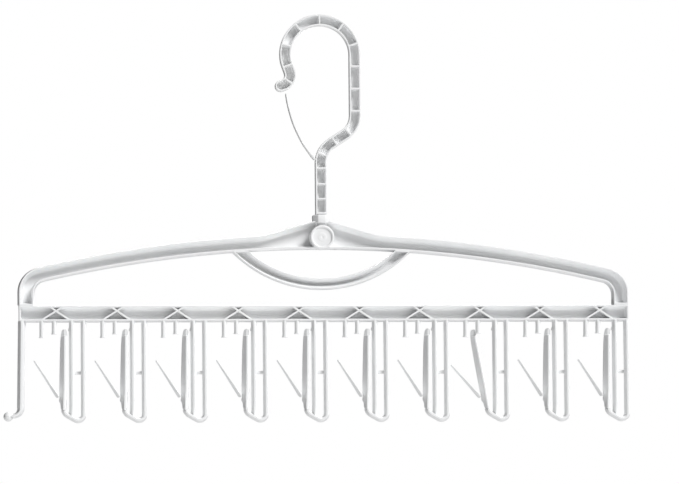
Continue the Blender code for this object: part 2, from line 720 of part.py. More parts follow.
def arm_mesh():
    """The spring arm about its bend, standing closed. Its tip is stepped back from the front."""
    rows = []
    for z, bl, fl, fr, br in ARM_ROWS:
        mid = (bl + br) / 2
        near = fl - 0.35 * (fl - bl)
        section = ((fl, -FRAME_Y), (near, -2.2), (bl, ARM_SHOULDER_Y), (bl, CLIP_BACK_Y),
                   (mid, CLIP_BACK_Y), (br, CLIP_BACK_Y), (br, ARM_SHOULDER_Y), (fr, -FRAME_Y))
        rows.append([(x - PIVOT_X, y, z - PIVOT_Z) for x, y in section])
    template = link(bpy.data.objects.new("arm_template", loft("arm", rows)), helper=True)
    cut = box_mesh("step", (-6.0, -FRAME_Y - 1.0, STEP_Z - PIVOT_Z), (6.0, STEP_Y, 60.0))
    boolean(template, cut, "DIFFERENCE", "step")
    mesh = settled(template)
    mesh.name = "clip_arm"
    return mesh


def tongue_mesh():
    """The tongue about its root, tapering to its tip."""
    dx, dz = TONGUE_TIP[0] - TONGUE_ROOT[0], TONGUE_TIP[1] - TONGUE_ROOT[1]
    length = math.hypot(dx, dz)
    heading = math.atan2(dz, dx)
    y0, y1 = TONGUE_Y
    section = ((0.22, y0), (0.5, y0 + 3.2), (0.5, y1), (-0.5, y1), (-0.5, y0 + 3.2), (-0.22, y0))
    thick, thin = TONGUE_THICK
    along = [(-thick / 2 * math.cos(math.radians(a)), thick * max(0.15, math.sin(math.radians(a))))
             for a in (6, 32, 60, 90)]
    along += [(1.0 + (length - 1.4) * k / 5, thick + (thin - thick) * k / 5) for k in range(6)]
    along.append((length, thin * 0.5))
    nodes = [(math.cos(heading) * t, math.sin(heading) * t, math.degrees(heading)) for t, _ in along]
    return sweep("clip_tongue", nodes, section, [w for _, w in along])


def turned_about(point, centre, degrees):
    a = math.radians(degrees)
    dx, dz = point[0] - centre[0], point[1] - centre[1]
    return (centre[0] + dx * math.cos(a) - dz * math.sin(a),
            centre[1] + dx * math.sin(a) + dz * math.cos(a))


def make_clips(leg_mat, arm_mat, tongue_mat):
    leg, arm, tongue = leg_mesh(), arm_mesh(), tongue_mesh()
    for mesh, mat in ((leg, leg_mat), (arm, arm_mat), (tongue, tongue_mat)):
        mesh.materials.clear()
        mesh.materials.append(mat)
    for i in range(CLIPS):
        number = "%02d" % (i + 1)
        cx = cross_x(i)
        is_open = i + 1 == OPEN_CLIP
        opened = OPEN_DEG if is_open else 0.0
        turned = OPEN_TONGUE_DEG if is_open else 0.0
        obj = link(bpy.data.objects.new("clip_leg_" + number, leg))
        obj.location = (cx * MM, 0.0, 0.0)
        smooth(obj)
        # an arm stands on its bend; opening turns it to the left, about -Y
        obj = link(bpy.data.objects.new("clip_arm_" + number, arm))
        obj.location = ((cx + PIVOT_X) * MM, 0.0, PIVOT_Z * MM)
        obj.rotation_euler = (0.0, -math.radians(opened), 0.0)
        smooth(obj)
        root = turned_about(TONGUE_ROOT, (PIVOT_X, PIVOT_Z), opened)
        obj = link(bpy.data.objects.new("clip_tongue_" + number, tongue))
        obj.location = ((cx + root[0]) * MM, 0.0, root[1] * MM)
        obj.rotation_euler = (0.0, -math.radians(turned), 0.0)
        smooth(obj)


def make_end_leg(mat):
    """The leg at the left end: a straight strip that curls out to a ball."""
    section = strip_section(END_FRONT, END_HALF, STRIP_SHOULDER_Y, -FRAME_Y, CLIP_BACK_Y)
    top = under_rail(0.0)
    nodes = walk(END_X, top, 269.2, (("L", END_RUN), ("A", END_BEND_R, -END_BEND_DEG, 9), ("L", END_CURL)))
    taper = [1.0] * 2 + [1.0 - 0.05 * k for k in range(1, len(nodes) - 1)]
    mesh = sweep("end_hook_leg", nodes, section, taper)
    set_heights(mesh, lambda x, y, z: z > top - 0.1, lambda x, y: under_rail(y))
    obj = smooth_link("end_hook_leg", mesh, mat)
    end = nodes[-1]
    middle = (CLIP_BACK_Y - FRAME_Y) / 2
    ball = bmesh.new()
    bmesh.ops.create_uvsphere(ball, u_segments=20, v_segments=12, radius=BALL_R * MM)
    bmesh.ops.translate(ball, verts=ball.verts,
                        vec=((end[0] - 1.8) * MM, middle * MM, (end[1] - 0.15) * MM))
    ball_mesh = bpy.data.meshes.new("ball")
    ball.to_mesh(ball_mesh)
    ball.free()
    boolean(obj, ball_mesh, "UNION", "ball")
    return obj


def main():
    clear_scene()
    white = plastic("white_plastic", (0.90, 0.905, 0.91))
    hook_white = plastic("hook_plastic", (0.90, 0.905, 0.91), 0.30)
    cap_white = plastic("cap_plastic", (0.92, 0.925, 0.93), 0.22)
    leaf_white = plastic("leaf_plastic", (0.90, 0.905, 0.91), 0.36)
    _, nodes = make_hook(hook_white)
    make_gate(leaf_white)
    make_swivel(hook_white, white, cap_white, nodes[0][1])
    make_arms(white)
    make_bow(white)
    make_rail(white)
    make_end_leg(white)
    make_clips(white, leaf_white, leaf_white)


main()
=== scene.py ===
"""Sock drying hanger: the fine surfaces, plastics, light and camera around the fixed frame.

Lengths in the shape functions are millimetres and become metres when a mesh is made.
Every piece stands where its node of the frame is, with rounded edges, drafted walls and fillets.
"""
import math

import bmesh
import bpy
from mathutils import Matrix, Vector


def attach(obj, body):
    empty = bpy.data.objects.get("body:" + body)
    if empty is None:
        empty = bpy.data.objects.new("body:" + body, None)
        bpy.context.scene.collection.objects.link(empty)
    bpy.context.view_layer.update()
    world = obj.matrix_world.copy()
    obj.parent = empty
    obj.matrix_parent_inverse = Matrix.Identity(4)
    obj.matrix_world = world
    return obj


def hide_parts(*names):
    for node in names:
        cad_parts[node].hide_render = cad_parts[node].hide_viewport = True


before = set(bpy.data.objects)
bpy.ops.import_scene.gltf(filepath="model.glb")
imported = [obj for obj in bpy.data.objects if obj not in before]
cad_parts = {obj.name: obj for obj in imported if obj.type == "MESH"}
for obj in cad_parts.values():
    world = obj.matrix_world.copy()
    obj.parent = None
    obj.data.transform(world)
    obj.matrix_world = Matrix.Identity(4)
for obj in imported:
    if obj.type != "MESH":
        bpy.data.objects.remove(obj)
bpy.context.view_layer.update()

MM = 0.001
GAP = 0.3

# ---------------------------------------------------------------- dimensions
HOOK_WIDTH = 7.36
HOOK_Y = 3.5
HOOK_WEB_Y = 1.9
HOOK_RIM = 1.05
HOOK_RIB = 1.1
CROWN_R = 22.87
CROWN_FACETS = 23
RIGHT_RUN = 40.1
BEND_R = 15.0
BEND_DEG = 57.0
STEM_RUN = 34.2
TIP_BACK_R, TIP_BACK_DEG = 19.7, 20.0
TIP_RUN = 4.6
TIP_R, TIP_DEG = 7.2, 95.0
TIP_END_RUN = 1.0
RIB_AT = (10.3, 20.1, 30.4, 39.6, 51.7, 62.7, 77.9, 92.6,
          107.4, 121.9, 136.2, 151.3, 166.5, 180.7, 194.5, 205.3)

GATE_POINTS = ((-4.4, -88.6, 0.5), (-4.8, -87.2, 1.7), (-5.6, -85.9, 2.3), (-6.9, -84.5, 1.6),
               (-9.6, -81.0, 1.0), (-12.6, -76.2, 1.0), (-17.2, -66.3, 1.0),
               (-19.8, -58.4, 1.0), (-21.7, -50.5, 0.9), (-22.6, -44.9, 0.7))
GATE_THICK = 0.8
GATE_Y = 3.0

BARREL_R = 5.8
BARREL_TOP = -125.0
PIN_R, PIN_BORE_R = 2.5, 2.8
PIN_HEAD_R = 3.4
PIN_HEAD_Z = (-140.6, -136.9)
HUB_HALF = 9.0
CAP_Z = -139.95
CAP_R = 7.9
BOSS_FRONT_Y = -6.2
CAP_FRONT_Y = -8.0

FRAME_Y = 4.0
WEB_Y = 2.6
RIM = 1.0
FLARE = 0.7
ARM_BOTTOM_Z = -146.85
ARM_CREST_Z = -138.1
ARM_SAG_R = 797.0
PEAK_Z, PEAK_SLOPE = -127.6, 0.30
LEFT_END, RIGHT_END = 198.4, 202.3
FOOT_WIDTH = 9.6
CORNER_R = 16.0
CORNER_R_IN = 9.0

BOW_Z = -91.5
BOW_R_OUT, BOW_R_IN = 82.1, 75.3
BOW_TOP_Z = -149.0

RAIL_TOP, RAIL_BOTTOM = -184.5, -194.35
RAIL_WEB_Y = 2.6
RIB_T = 1.15
CROSS_Z = -189.75
CROSS_X0, PITCH = -174.4, 39.72
CLIPS = 10
CROSS_RISE = ((-9.6, -4.3), (5.0, 4.9))
CROSS_FALL = ((9.1, -4.3), (-4.3, 4.9))
PEGS = ((-9.1, 11.15), (-1.05, 8.85))
PEG_BACK_Y = -1.2

CLIP_BACK_Y = 2.0
STRIP_FRONT = 0.65
STRIP_BACK = 1.75
STRIP_SHOULDER_Y = -0.6
INNER_X, OUTER_X = 10.45, 18.1
BAR_Z = (-229.4, -227.1)
FOOT_X, FOOT_Z = 10.05, -251.56
FOOT_R, FOOT_DEG, FOOT_START = 5.0, 60.0, 20.5
FOOT_RUN = 5.6
CUP_START, CUP_R = 4.0, 2.24
TURN_R = 3.63
CATCH_Z = -200.0

PIVOT_X, PIVOT_Z = 5.05, -251.0
ARM_ROWS = ((-252.88, 4.5, 4.65, 5.45, 5.6), (-252.4, 3.85, 4.4, 5.65, 6.25),
            (-251.6, 3.35, 4.4, 5.6, 6.75), (-250.6, 3.15, 4.4, 5.6, 6.95),
            (-248.4, 2.9, 4.45, 5.6, 7.05), (-246.2, 2.1, 4.6, 5.65, 7.1),
            (-243.3, 2.4, 4.7, 5.7, 7.2), (-237.5, 2.25, 4.9, 6.0, 7.3),
            (-224.5, 2.5, 5.1, 6.2, 7.45), (-211.5, 2.9, 5.2, 6.35, 7.5),
            (-205.0, 3.3, 5.3, 6.35, 7.5), (-201.6, 3.8, 5.45, 6.4, 7.4),
            (-200.3, 4.3, 5.6, 6.4, 7.15), (-199.6, 5.0, 5.8, 6.2, 6.6))
ARM_SHOULDER_Y = 0.4
STEP_Z, STEP_Y = -204.1, -0.9
TONGUE_ROOT = (0.95, -243.3)
TONGUE_TIP = (-14.3, -220.2)
TONGUE_THICK = (2.3, 0.7)
TONGUE_Y = (-3.4, 1.4)
OPEN_CLIP, OPEN_DEG, OPEN_TONGUE_DEG = 8, 11.2, 8.6

END_X = -196.4
END_HALF, END_FRONT = 2.5, 0.8
END_RUN, END_BEND_R, END_BEND_DEG, END_CURL = 56.6, 5.2, 78.0, 2.4
BALL_R = 3.1

# inner side of the upper walls: how far each leans out of square, and its fillet
ARM_DRAFT, ARM_FILLET = 1.5, 1.3
BOW_DRAFT, BOW_FILLET = 2.1, 0.45
RAIL_DRAFT, RAIL_FILLET = 1.3, 1.3

# camera
TARGET = (0.0, 0.0, -0.13)
CAM_AZ, CAM_EL, CAM_DIST = -5.5, -5.0, 3.6
CAM_FOCAL_PX, CAM_ROLL = 5488.4, -0.495
CAM_SHIFT = (18.4, -19.2)
IMAGE_W = 679.0

# lamps and room
KEY, LIFT, BEHIND, ROOM = 3.5, 1.35, 2.0, 0.03


# ------------------------------------------------------------ shape functions
def mesh_from(name, verts, faces):
    bm = bmesh.new()
    made = [bm.verts.new((v[0] * MM, v[1] * MM, v[2] * MM)) for v in verts]
    for face in faces:
        bm.faces.new([made[i] for i in face])
    bmesh.ops.recalc_face_normals(bm, faces=bm.faces)
    mesh = bpy.data.meshes.new(name)
    bm.to_mesh(mesh)
    bm.free()
    return mesh


def lerp(a, b, t):
    return tuple(p + (q - p) * t for p, q in zip(a, b))


def toward(a, b, distance):
    length = math.hypot(b[0] - a[0], b[1] - a[1])
    return lerp(a, b, distance / length)


def walk(x, z, heading, moves, step_deg=3.0, run_step=6.0):
    """Nodes (x, z, heading) along straight runs ('L', mm) and arcs ('A', radius, degrees)."""
    nodes = [(x, z, heading)]
    for move in moves:
        if move[0] == "L":
            count = max(1, round(move[1] / run_step))
            for _ in range(count):
                x += math.cos(math.radians(heading)) * move[1] / count
                z += math.sin(math.radians(heading)) * move[1] / count
                nodes.append((x, z, heading))
            continue
        radius, turn = move[1], move[2]
        count = max(3, round(abs(turn) / step_deg))
        side = 1.0 if turn > 0 else -1.0
        cx = x + math.cos(math.radians(heading + 90 * side)) * radius
        cz = z + math.sin(math.radians(heading + 90 * side)) * radius
        start = heading - 90 * side
        for k in range(1, count + 1):
            a = math.radians(start + turn * k / count)
            nodes.append((cx + math.cos(a) * radius, cz + math.sin(a) * radius,
                          heading + turn * k / count))
        x, z = nodes[-1][:2]
        heading += turn
    return nodes


def side_point(node, offset):
    a = math.radians(node[2] + 90)
    return (node[0] + math.cos(a) * offset, node[1] + math.sin(a) * offset)


def arc_lengths(nodes):
    arc = [0.0]
    for p, q in zip(nodes, nodes[1:]):
        arc.append(arc[-1] + math.hypot(q[0] - p[0], q[1] - p[1]))
    return arc


def rounded(points, radii, segments=3):
    """A closed outline with an arc in place of each corner."""
    out = []
    n = len(points)
    for i, (p, r) in enumerate(zip(points, radii)):
        if r <= 0:
            out.append(p)
            continue
        a, b = points[i - 1], points[(i + 1) % n]
        la = math.hypot(a[0] - p[0], a[1] - p[1])
        lb = math.hypot(b[0] - p[0], b[1] - p[1])
        ua = ((a[0] - p[0]) / la, (a[1] - p[1]) / la)
        ub = ((b[0] - p[0]) / lb, (b[1] - p[1]) / lb)
        angle = math.acos(max(-1.0, min(1.0, ua[0] * ub[0] + ua[1] * ub[1])))
        if angle > math.pi - 0.02:
            out.append(p)
            continue
        cut = min(r / math.tan(angle / 2), 0.46 * la, 0.46 * lb)
        r = cut * math.tan(angle / 2)
        bx, by = ua[0] + ub[0], ua[1] + ub[1]
        bl = math.hypot(bx, by)
        reach = r / math.sin(angle / 2)
        cx, cy = p[0] + bx / bl * reach, p[1] + by / bl * reach
        a0 = math.atan2(p[1] + ua[1] * cut - cy, p[0] + ua[0] * cut - cx)
        a1 = math.atan2(p[1] + ub[1] * cut - cy, p[0] + ub[0] * cut - cx)
        d = (a1 - a0 + math.pi) % (2 * math.pi) - math.pi
        for k in range(segments + 1):
            t = a0 + d * k / segments
            out.append((cx + r * math.cos(t), cy + r * math.sin(t)))
    return out


def inset(row, amount):
    """A section's points moved inward, in the section's own plane."""
    points = [Vector(p) for p in row]
    n = len(points)
    normal = Vector((0.0, 0.0, 0.0))
    for i in range(n):
        normal += points[i].cross(points[(i + 1) % n])
    normal.normalize()
    out = []
    for i in range(n):
        tangent = (points[(i + 1) % n] - points[i - 1]).normalized()
        out.append(tuple(points[i] + normal.cross(tangent) * amount))
    return out


def eased_end(first, second, amount, steps=3):
    """Rows that round off the end of a loft: from the small end face up to the full section."""
    shift = (sum((Vector(p) for p in second), Vector()) / len(second)
             - sum((Vector(p) for p in first), Vector()) / len(first))
    shift.normalize()
    rows = []
    for k in range(steps + 1):
        a = math.radians(90.0 * k / steps)
        moved = [tuple(Vector(p) + shift * amount * (1 - math.cos(a))) for p in first]
        rows.append(inset(moved, amount * (1 - math.sin(a))) if k < steps else moved)
    return rows


def loft(name, rows, ease=(0.0, 0.0), fan=0):
    """A solid through rows of (x, y, z) points. ease rounds off the first and last end."""
    rows = [list(r) for r in rows]
    if ease[0]:
        rows = eased_end(rows[0], rows[1], ease[0]) + rows[1:]
    if ease[1]:
        rows = rows[:-1] + list(reversed(eased_end(rows[-1], rows[-2], ease[1])))
    verts = [p for row in rows for p in row]
    count = len(rows[0])
    faces = []
    for i in range(len(rows) - 1):
        for k in range(count):
            n = (k + 1) % count
            faces.append((i * count + k, i * count + n,
                          (i + 1) * count + n, (i + 1) * count + k))
    faces.append(tuple(range(count)))
    last = (len(rows) - 1) * count
    if not fan:
        faces.append(tuple(last + k for k in reversed(range(count))))
        return mesh_from(name, verts, faces)
    # the last section, the same on both sides of its middle, sweeps a half turn about it
    row = [Vector(p) for p in rows[-1]]
    middle = sum(row, Vector()) / count
    ahead = middle - sum((Vector(p) for p in rows[-2]), Vector()) / count
    ahead.y = 0.0
    ahead.normalize()
    across = row[0] - middle
    across.y = 0.0
    across.normalize()
    offset = [(p - middle).dot(across) for p in row]
    pairs = {}
    for k in range(count):
        if offset[k] > 1e-6:
            pairs[k] = min((n for n in range(count) if offset[n] < 0),
                           key=lambda n: abs(offset[n] + offset[k]) + abs(row[n].y - row[k].y))
    arcs = {}
    for k, n in pairs.items():
        line = [last + k]
        for i in range(1, fan):
            a = math.pi * i / fan
            p = middle + (across * math.cos(a) + ahead * math.sin(a)) * offset[k]
            line.append(len(verts))
            verts.append((p.x, row[k].y, p.z))
        arcs[k] = line + [last + n]
    for k in pairs:
        n = (k + 1) % count
        if n in pairs:
            for i in range(fan):
                faces.append((arcs[k][i], arcs[n][i], arcs[n][i + 1], arcs[k][i + 1]))
        else:
            faces.append(tuple(arcs[k]))
        if (k - 1) % count not in pairs:
            faces.append(tuple(arcs[k]))
    return mesh_from(name, verts, faces)


def sweep(name, nodes, section, scale=None, ease=(0.0, 0.0)):
    rows = []
    for k, node in enumerate(nodes):
        grow = 1.0 if scale is None else scale[k]
        rows.append([(*side_point(node, offset * grow), y) for offset, y in section])
    rows = [[(x, y, z) for x, z, y in row] for row in rows]
    return loft(name, rows, ease)


def smooth_curve(points, per=6):
    """Catmull-Rom through tuples of any length."""
    out = []
    n = len(points)
    for i in range(n - 1):
        p0, p1, p2, p3 = points[max(0, i - 1)], points[i], points[i + 1], points[min(n - 1, i + 2)]
        for k in range(per):
            t = k / per
            out.append(tuple(0.5 * (2 * b + (c - a) * t + (2 * a - 5 * b + 4 * c - d) * t * t
                                    + (3 * b - a - 3 * c + d) * t ** 3)
                             for a, b, c, d in zip(p0, p1, p2, p3)))
    out.append(tuple(points[-1]))
    return out


class Wall:
    """The way from a rim down into a pocket: rounded top edge, drafted face, fillet to the floor."""

    def __init__(self, depth, top=0.22, draft=0.25, fillet=0.6):
        self.depth, self.top, self.draft, self.fillet = depth, top, draft, fillet

    def at(self, d):
        """Depth at a distance inside the pocket's edge."""
        top, draft, fillet, depth = self.top, self.draft, self.fillet, self.depth
        if d <= -top:
            return 0.0
        if d <= 0:
            return top - math.sqrt(max(0.0, top * top - (d + top) ** 2))
        if d <= draft:
            return top + (depth - fillet - top) * d / draft
        if d <= draft + fillet:
            return depth - fillet + math.sqrt(max(0.0, fillet ** 2 - (fillet - (d - draft)) ** 2))
        return depth

    def levels(self):
        top, draft, fillet = self.top, self.draft, self.fillet
        return ([-top, -0.55 * top, -0.2 * top, 0.0, 0.33 * draft, 0.67 * draft, draft]
                + [draft + fillet * f for f in (0.08, 0.3, 0.62, 1.0)])


def trough(name, edges, pockets, left, right, end, rims, y_front, y_back, flare,
           outer=0.3, back=0.4, mid=2, ease=(0.0, 0.0), open_ends=(False, False), fan=0):
    """A band between two edge lines with pockets sunk in its front, all edges rounded.

    edges: (s, left point, right point). pockets: (s0, s1). left, right, end: the Walls.
    fan: steps of a half-round end, which the last section sweeps.
    """
    span = edges[-1][0]
    wanted = {round(e[0], 4) for e in edges}
    for p, q in pockets:
        for d in end.levels():
            if not (p <= 0 and open_ends[0]):
                wanted.add(round(p + d, 4))
            if not (q >= span and open_ends[1]):
                wanted.add(round(q - d, 4))
    order = []
    for s in sorted(w for w in wanted if 0 <= w <= span):
        if not order or s - order[-1] > 0.03:
            order.append(s)
    order[-1] = span

    def at(s):
        lo, hi = 0, len(edges) - 1
        while hi - lo > 1:
            m = (lo + hi) // 2
            if edges[m][0] <= s:
                lo = m
            else:
                hi = m
        a, b = edges[lo], edges[hi]
        t = (s - a[0]) / (b[0] - a[0])
        return lerp(a[1], b[1], t), lerp(a[2], b[2], t)

    rows = []
    for s in order:
        a, b = at(s)
        wide = math.hypot(b[0] - a[0], b[1] - a[1])
        ux, uz = (b[0] - a[0]) / wide, (b[1] - a[1]) / wide
        ro = min(outer, wide * 0.3)
        rb = min(back, wide * 0.3)
        inside = 0.0
        for p, q in pockets:
            if p <= s <= q:
                inside = max(inside, min(s - p if not (p <= 0 and open_ends[0]) else 99.0,
                                         q - s if not (q >= span and open_ends[1]) else 99.0))
            elif p - end.top < s < q + end.top:
                inside = max(inside, -1e9)
        near = min((min(abs(s - p), abs(s - q)) for p, q in pockets), default=9.0)
        in_pocket = any(p <= s <= q for p, q in pockets)
        reach = inside if in_pocket else -near
        cap_depth = end.at(reach)
        section = []
        for k in range(4):
            t = math.radians(90 * k / 3)
            section.append((ro * (1 - math.cos(t)), y_front + ro * (1 - math.sin(t))))
        ll, rl = left.levels(), right.levels()
        room = wide - rims[0] - rims[1]
        need = ll[-1] + rl[-1] + 0.15
        squeeze = min(1.0, room / need) if room > 0 else 0.0
        if wide < rims[0] + rims[1] + 1.5:
            # the narrow round end: plain points across the flat front
            total = len(ll) + len(rl) + mid
            for k in range(total):
                section.append((ro + (wide - 2 * ro) * (k + 1) / (total + 1), y_front))
        else:
            for d in ll:
                t = rims[0] + (d * squeeze if d > 0 else d)
                section.append((t, y_front + min(left.at(d), cap_depth)))
            t0 = rims[0] + ll[-1] * squeeze
            t1 = wide - rims[1] - rl[-1] * squeeze
            for k in range(1, mid + 1):
                section.append((t0 + (t1 - t0) * k / (mid + 1),
                                y_front + min(left.depth, right.depth, cap_depth)))
            for d in reversed(rl):
                t = wide - rims[1] - (d * squeeze if d > 0 else d)
                section.append((t, y_front + min(right.at(d), cap_depth)))
        for k in range(3, -1, -1):
            t = math.radians(90 * k / 3)
            section.append((wide - ro * (1 - math.cos(t)), y_front + ro * (1 - math.sin(t))))
        for k in range(3, -1, -1):
            t = math.radians(90 * k / 3)
            section.append((wide + flare - rb * (1 - math.sin(t)), y_back - rb * (1 - math.cos(t))))
        turn = section[-4:]
        section = section[:-4] + list(reversed(turn))
        for k in range(4):
            t = math.radians(90 * k / 3)
            section.append((-flare + rb * (1 - math.sin(t)), y_back - rb * (1 - math.cos(t))))
        rows.append([(a[0] + ux * t, y, a[1] + uz * t) for t, y in section])
    return loft(name, rows, ease, fan)


def turned(name, profile, centre, axis, sides=64):
    """A solid turned round an axis. profile is (radius, distance along the axis)."""
    verts, faces = [], []
    n = len(profile)
    for k in range(sides):
        a = 2 * math.pi * (k + 0.5) / sides
        for r, t in profile:
            if axis == "Z":
                verts.append((centre[0] + r * math.cos(a), centre[1] + r * math.sin(a), centre[2] + t))
            else:
                verts.append((centre[0] + r * math.cos(a), centre[1] + t, centre[2] + r * math.sin(a)))
    for k in range(sides):
        m = (k + 1) % sides
        for i in range(n - 1):
            faces.append((k * n + i, k * n + i + 1, m * n + i + 1, m * n + i))
    faces.append(tuple(k * n for k in range(sides)))
    faces.append(tuple(k * n + n - 1 for k in reversed(range(sides))))
    return mesh_from(name, verts, faces)


def eased_profile(points, radii, segments=3):
    """An open profile with its inner corners rounded; the two ends stay."""
    out = [points[0]]
    for i in range(1, len(points) - 1):
        ring = rounded([points[i - 1], points[i], points[i + 1]], [0, radii[i], 0], segments)
        out += ring[1:-1]
    out.append(points[-1])
    return out


def prism(name, outline, y0, y1, ease=0.2):
    """A prism across the depth with rounded front and back edges."""
    row0 = [(x, y0, z) for x, z in outline]
    row1 = [(x, y1, z) for x, z in outline]
    return loft(name, [row0, row1], (ease, ease))


def bar_mesh(name, p, q, thick, y0, y1, ease=0.18):
    length = math.hypot(q[0] - p[0], q[1] - p[1])
    nx, nz = -(q[1] - p[1]) / length * thick / 2, (q[0] - p[0]) / length * thick / 2
    outline = [(p[0] + nx, p[1] + nz), (p[0] - nx, p[1] - nz), (q[0] - nx, q[1] - nz), (q[0] + nx, q[1] + nz)]
    return prism(name, outline, y0, y1, ease)


def set_heights(mesh, change):
    """Move vertices to change(x, y, z), all in millimetres."""
    for vertex in mesh.vertices:
        x, y, z = (c / MM for c in vertex.co)
        vertex.co.z = change(x, y, z) * MM


def union_of(name, meshes, cuts=()):
    """One closed mesh from several closed ones, by exact Booleans."""
    scene = bpy.context.scene.collection
    base = bpy.data.objects.new(name + ".base", meshes[0])
    scene.objects.link(base)
    helpers = [base]
    for operation, group in (("UNION", meshes[1:]), ("DIFFERENCE", cuts)):
        for mesh in group:
            helper = bpy.data.objects.new(name + ".part", mesh)
            scene.objects.link(helper)
            helpers.append(helper)
            mod = base.modifiers.new("b", "BOOLEAN")
            mod.operation = operation
            mod.solver = "EXACT"
            mod.object = helper
    bpy.context.view_layer.update()
    graph = bpy.context.evaluated_depsgraph_get()
    mesh = bpy.data.meshes.new_from_object(base.evaluated_get(graph))
    mesh.name = name
    for helper in helpers:
        bpy.data.objects.remove(helper, do_unlink=True)
    bm = bmesh.new()
    bm.from_mesh(mesh)
    bmesh.ops.remove_doubles(bm, verts=bm.verts, dist=2e-6)
    bmesh.ops.dissolve_degenerate(bm, edges=bm.edges, dist=2e-6)
    bm.to_mesh(mesh)
    bm.free()
    return mesh


def joined(name, meshes):
    bm = bmesh.new()
    for mesh in meshes:
        bm.from_mesh(mesh)
    mesh = bpy.data.meshes.new(name)
    bm.to_mesh(mesh)
    bm.free()
    return mesh


# ------------------------------------------------------------------ materials
def plastic(name, rgb, rough, grain=1.0, gloss=0.5):
    """Moulded white polypropylene: faint flow marks, a fine tool texture and uneven gloss."""
    mat = bpy.data.materials.new(name)
    mat.use_nodes = True
    nodes, links = mat.node_tree.nodes, mat.node_tree.links
    shader = nodes["Principled BSDF"]
    shader.inputs["Metallic"].default_value = 0.0
    shader.inputs["IOR"].default_value = 1.49
    shader.inputs["Specular IOR Level"].default_value = gloss

    coords = nodes.new("ShaderNodeTexCoord")

    def noise(scale, detail, stretch=None, rough_in=0.5):
        tex = nodes.new("ShaderNodeTexNoise")
        tex.inputs["Scale"].default_value = scale
        tex.inputs["Detail"].default_value = detail
        tex.inputs["Roughness"].default_value = rough_in
        if stretch:
            mapping = nodes.new("ShaderNodeMapping")
            mapping.inputs["Scale"].default_value = stretch
            links.new(coords.outputs["Object"], mapping.inputs["Vector"])
            links.new(mapping.outputs["Vector"], tex.inputs["Vector"])
        else:
            links.new(coords.outputs["Object"], tex.inputs["Vector"])
        return tex

    # colour: melt flow streaks and a very slight cast that drifts over the part
    flow = noise(24.0, 4.0, (1.0, 3.0, 0.7))
    drift = noise(7.0, 2.0)
    mix = nodes.new("ShaderNodeMath")
    mix.operation = "MULTIPLY_ADD"
    links.new(flow.outputs["Fac"], mix.inputs[0])
    mix.inputs[1].default_value = 0.6
    half = nodes.new("ShaderNodeMath")
    half.operation = "MULTIPLY"
    half.inputs[1].default_value = 0.4
    links.new(drift.outputs["Fac"], half.inputs[0])
    links.new(half.outputs[0], mix.inputs[2])
    ramp = nodes.new("ShaderNodeValToRGB")
    ramp.color_ramp.elements[0].position = 0.30
    ramp.color_ramp.elements[0].color = (rgb[0] * 0.965, rgb[1] * 0.968, rgb[2] * 0.972, 1)
    ramp.color_ramp.elements[1].position = 0.70
    ramp.color_ramp.elements[1].color = (min(1, rgb[0] * 1.02), min(1, rgb[1] * 1.018), min(1, rgb[2] * 1.012), 1)
    links.new(mix.outputs[0], ramp.inputs["Fac"])
    # tiny darker specks, as in any white resin
    speck = noise(1500.0, 1.0)
    speck_ramp = nodes.new("ShaderNodeValToRGB")
    speck_ramp.color_ramp.elements[0].position = 0.13
    speck_ramp.color_ramp.elements[0].color = (0.80, 0.80, 0.80, 1)
    speck_ramp.color_ramp.elements[1].position = 0.20
    speck_ramp.color_ramp.elements[1].color = (1, 1, 1, 1)
    links.new(speck.outputs["Fac"], speck_ramp.inputs["Fac"])
    tint = nodes.new("ShaderNodeMix")
    tint.data_type = "RGBA"
    tint.blend_type = "MULTIPLY"
    tint.inputs["Factor"].default_value = 0.5
    links.new(ramp.outputs["Color"], tint.inputs["A"])
    links.new(speck_ramp.outputs["Color"], tint.inputs["B"])
    links.new(tint.outputs["Result"], shader.inputs["Base Color"])

    # gloss: patchy where the tool's polish and handling differ
    patch = noise(60.0, 5.0, (0.6, 1.0, 1.2), 0.6)
    spread = nodes.new("ShaderNodeMapRange")
    spread.inputs["From Min"].default_value = 0.25
    spread.inputs["From Max"].default_value = 0.75
    spread.inputs["To Min"].default_value = rough - 0.07
    spread.inputs["To Max"].default_value = rough + 0.09
    links.new(patch.outputs["Fac"], spread.inputs["Value"])
    links.new(spread.outputs["Result"], shader.inputs["Roughness"])

    # relief: spark-eroded tool texture, faint waviness of thick walls
    fine = noise(1300.0, 1.0)
    wave = noise(120.0, 1.0, (0.5, 1.0, 1.0))
    fine_bump = nodes.new("ShaderNodeBump")
    fine_bump.inputs["Strength"].default_value = 0.05 * grain
    fine_bump.inputs["Distance"].default_value = 0.00003
    wave_bump = nodes.new("ShaderNodeBump")
    wave_bump.inputs["Strength"].default_value = 0.10
    wave_bump.inputs["Distance"].default_value = 0.00018
    links.new(fine.outputs["Fac"], fine_bump.inputs["Height"])
    links.new(wave.outputs["Fac"], wave_bump.inputs["Height"])
    links.new(fine_bump.outputs["Normal"], wave_bump.inputs["Normal"])
    links.new(wave_bump.outputs["Normal"], shader.inputs["Normal"])
    return mat


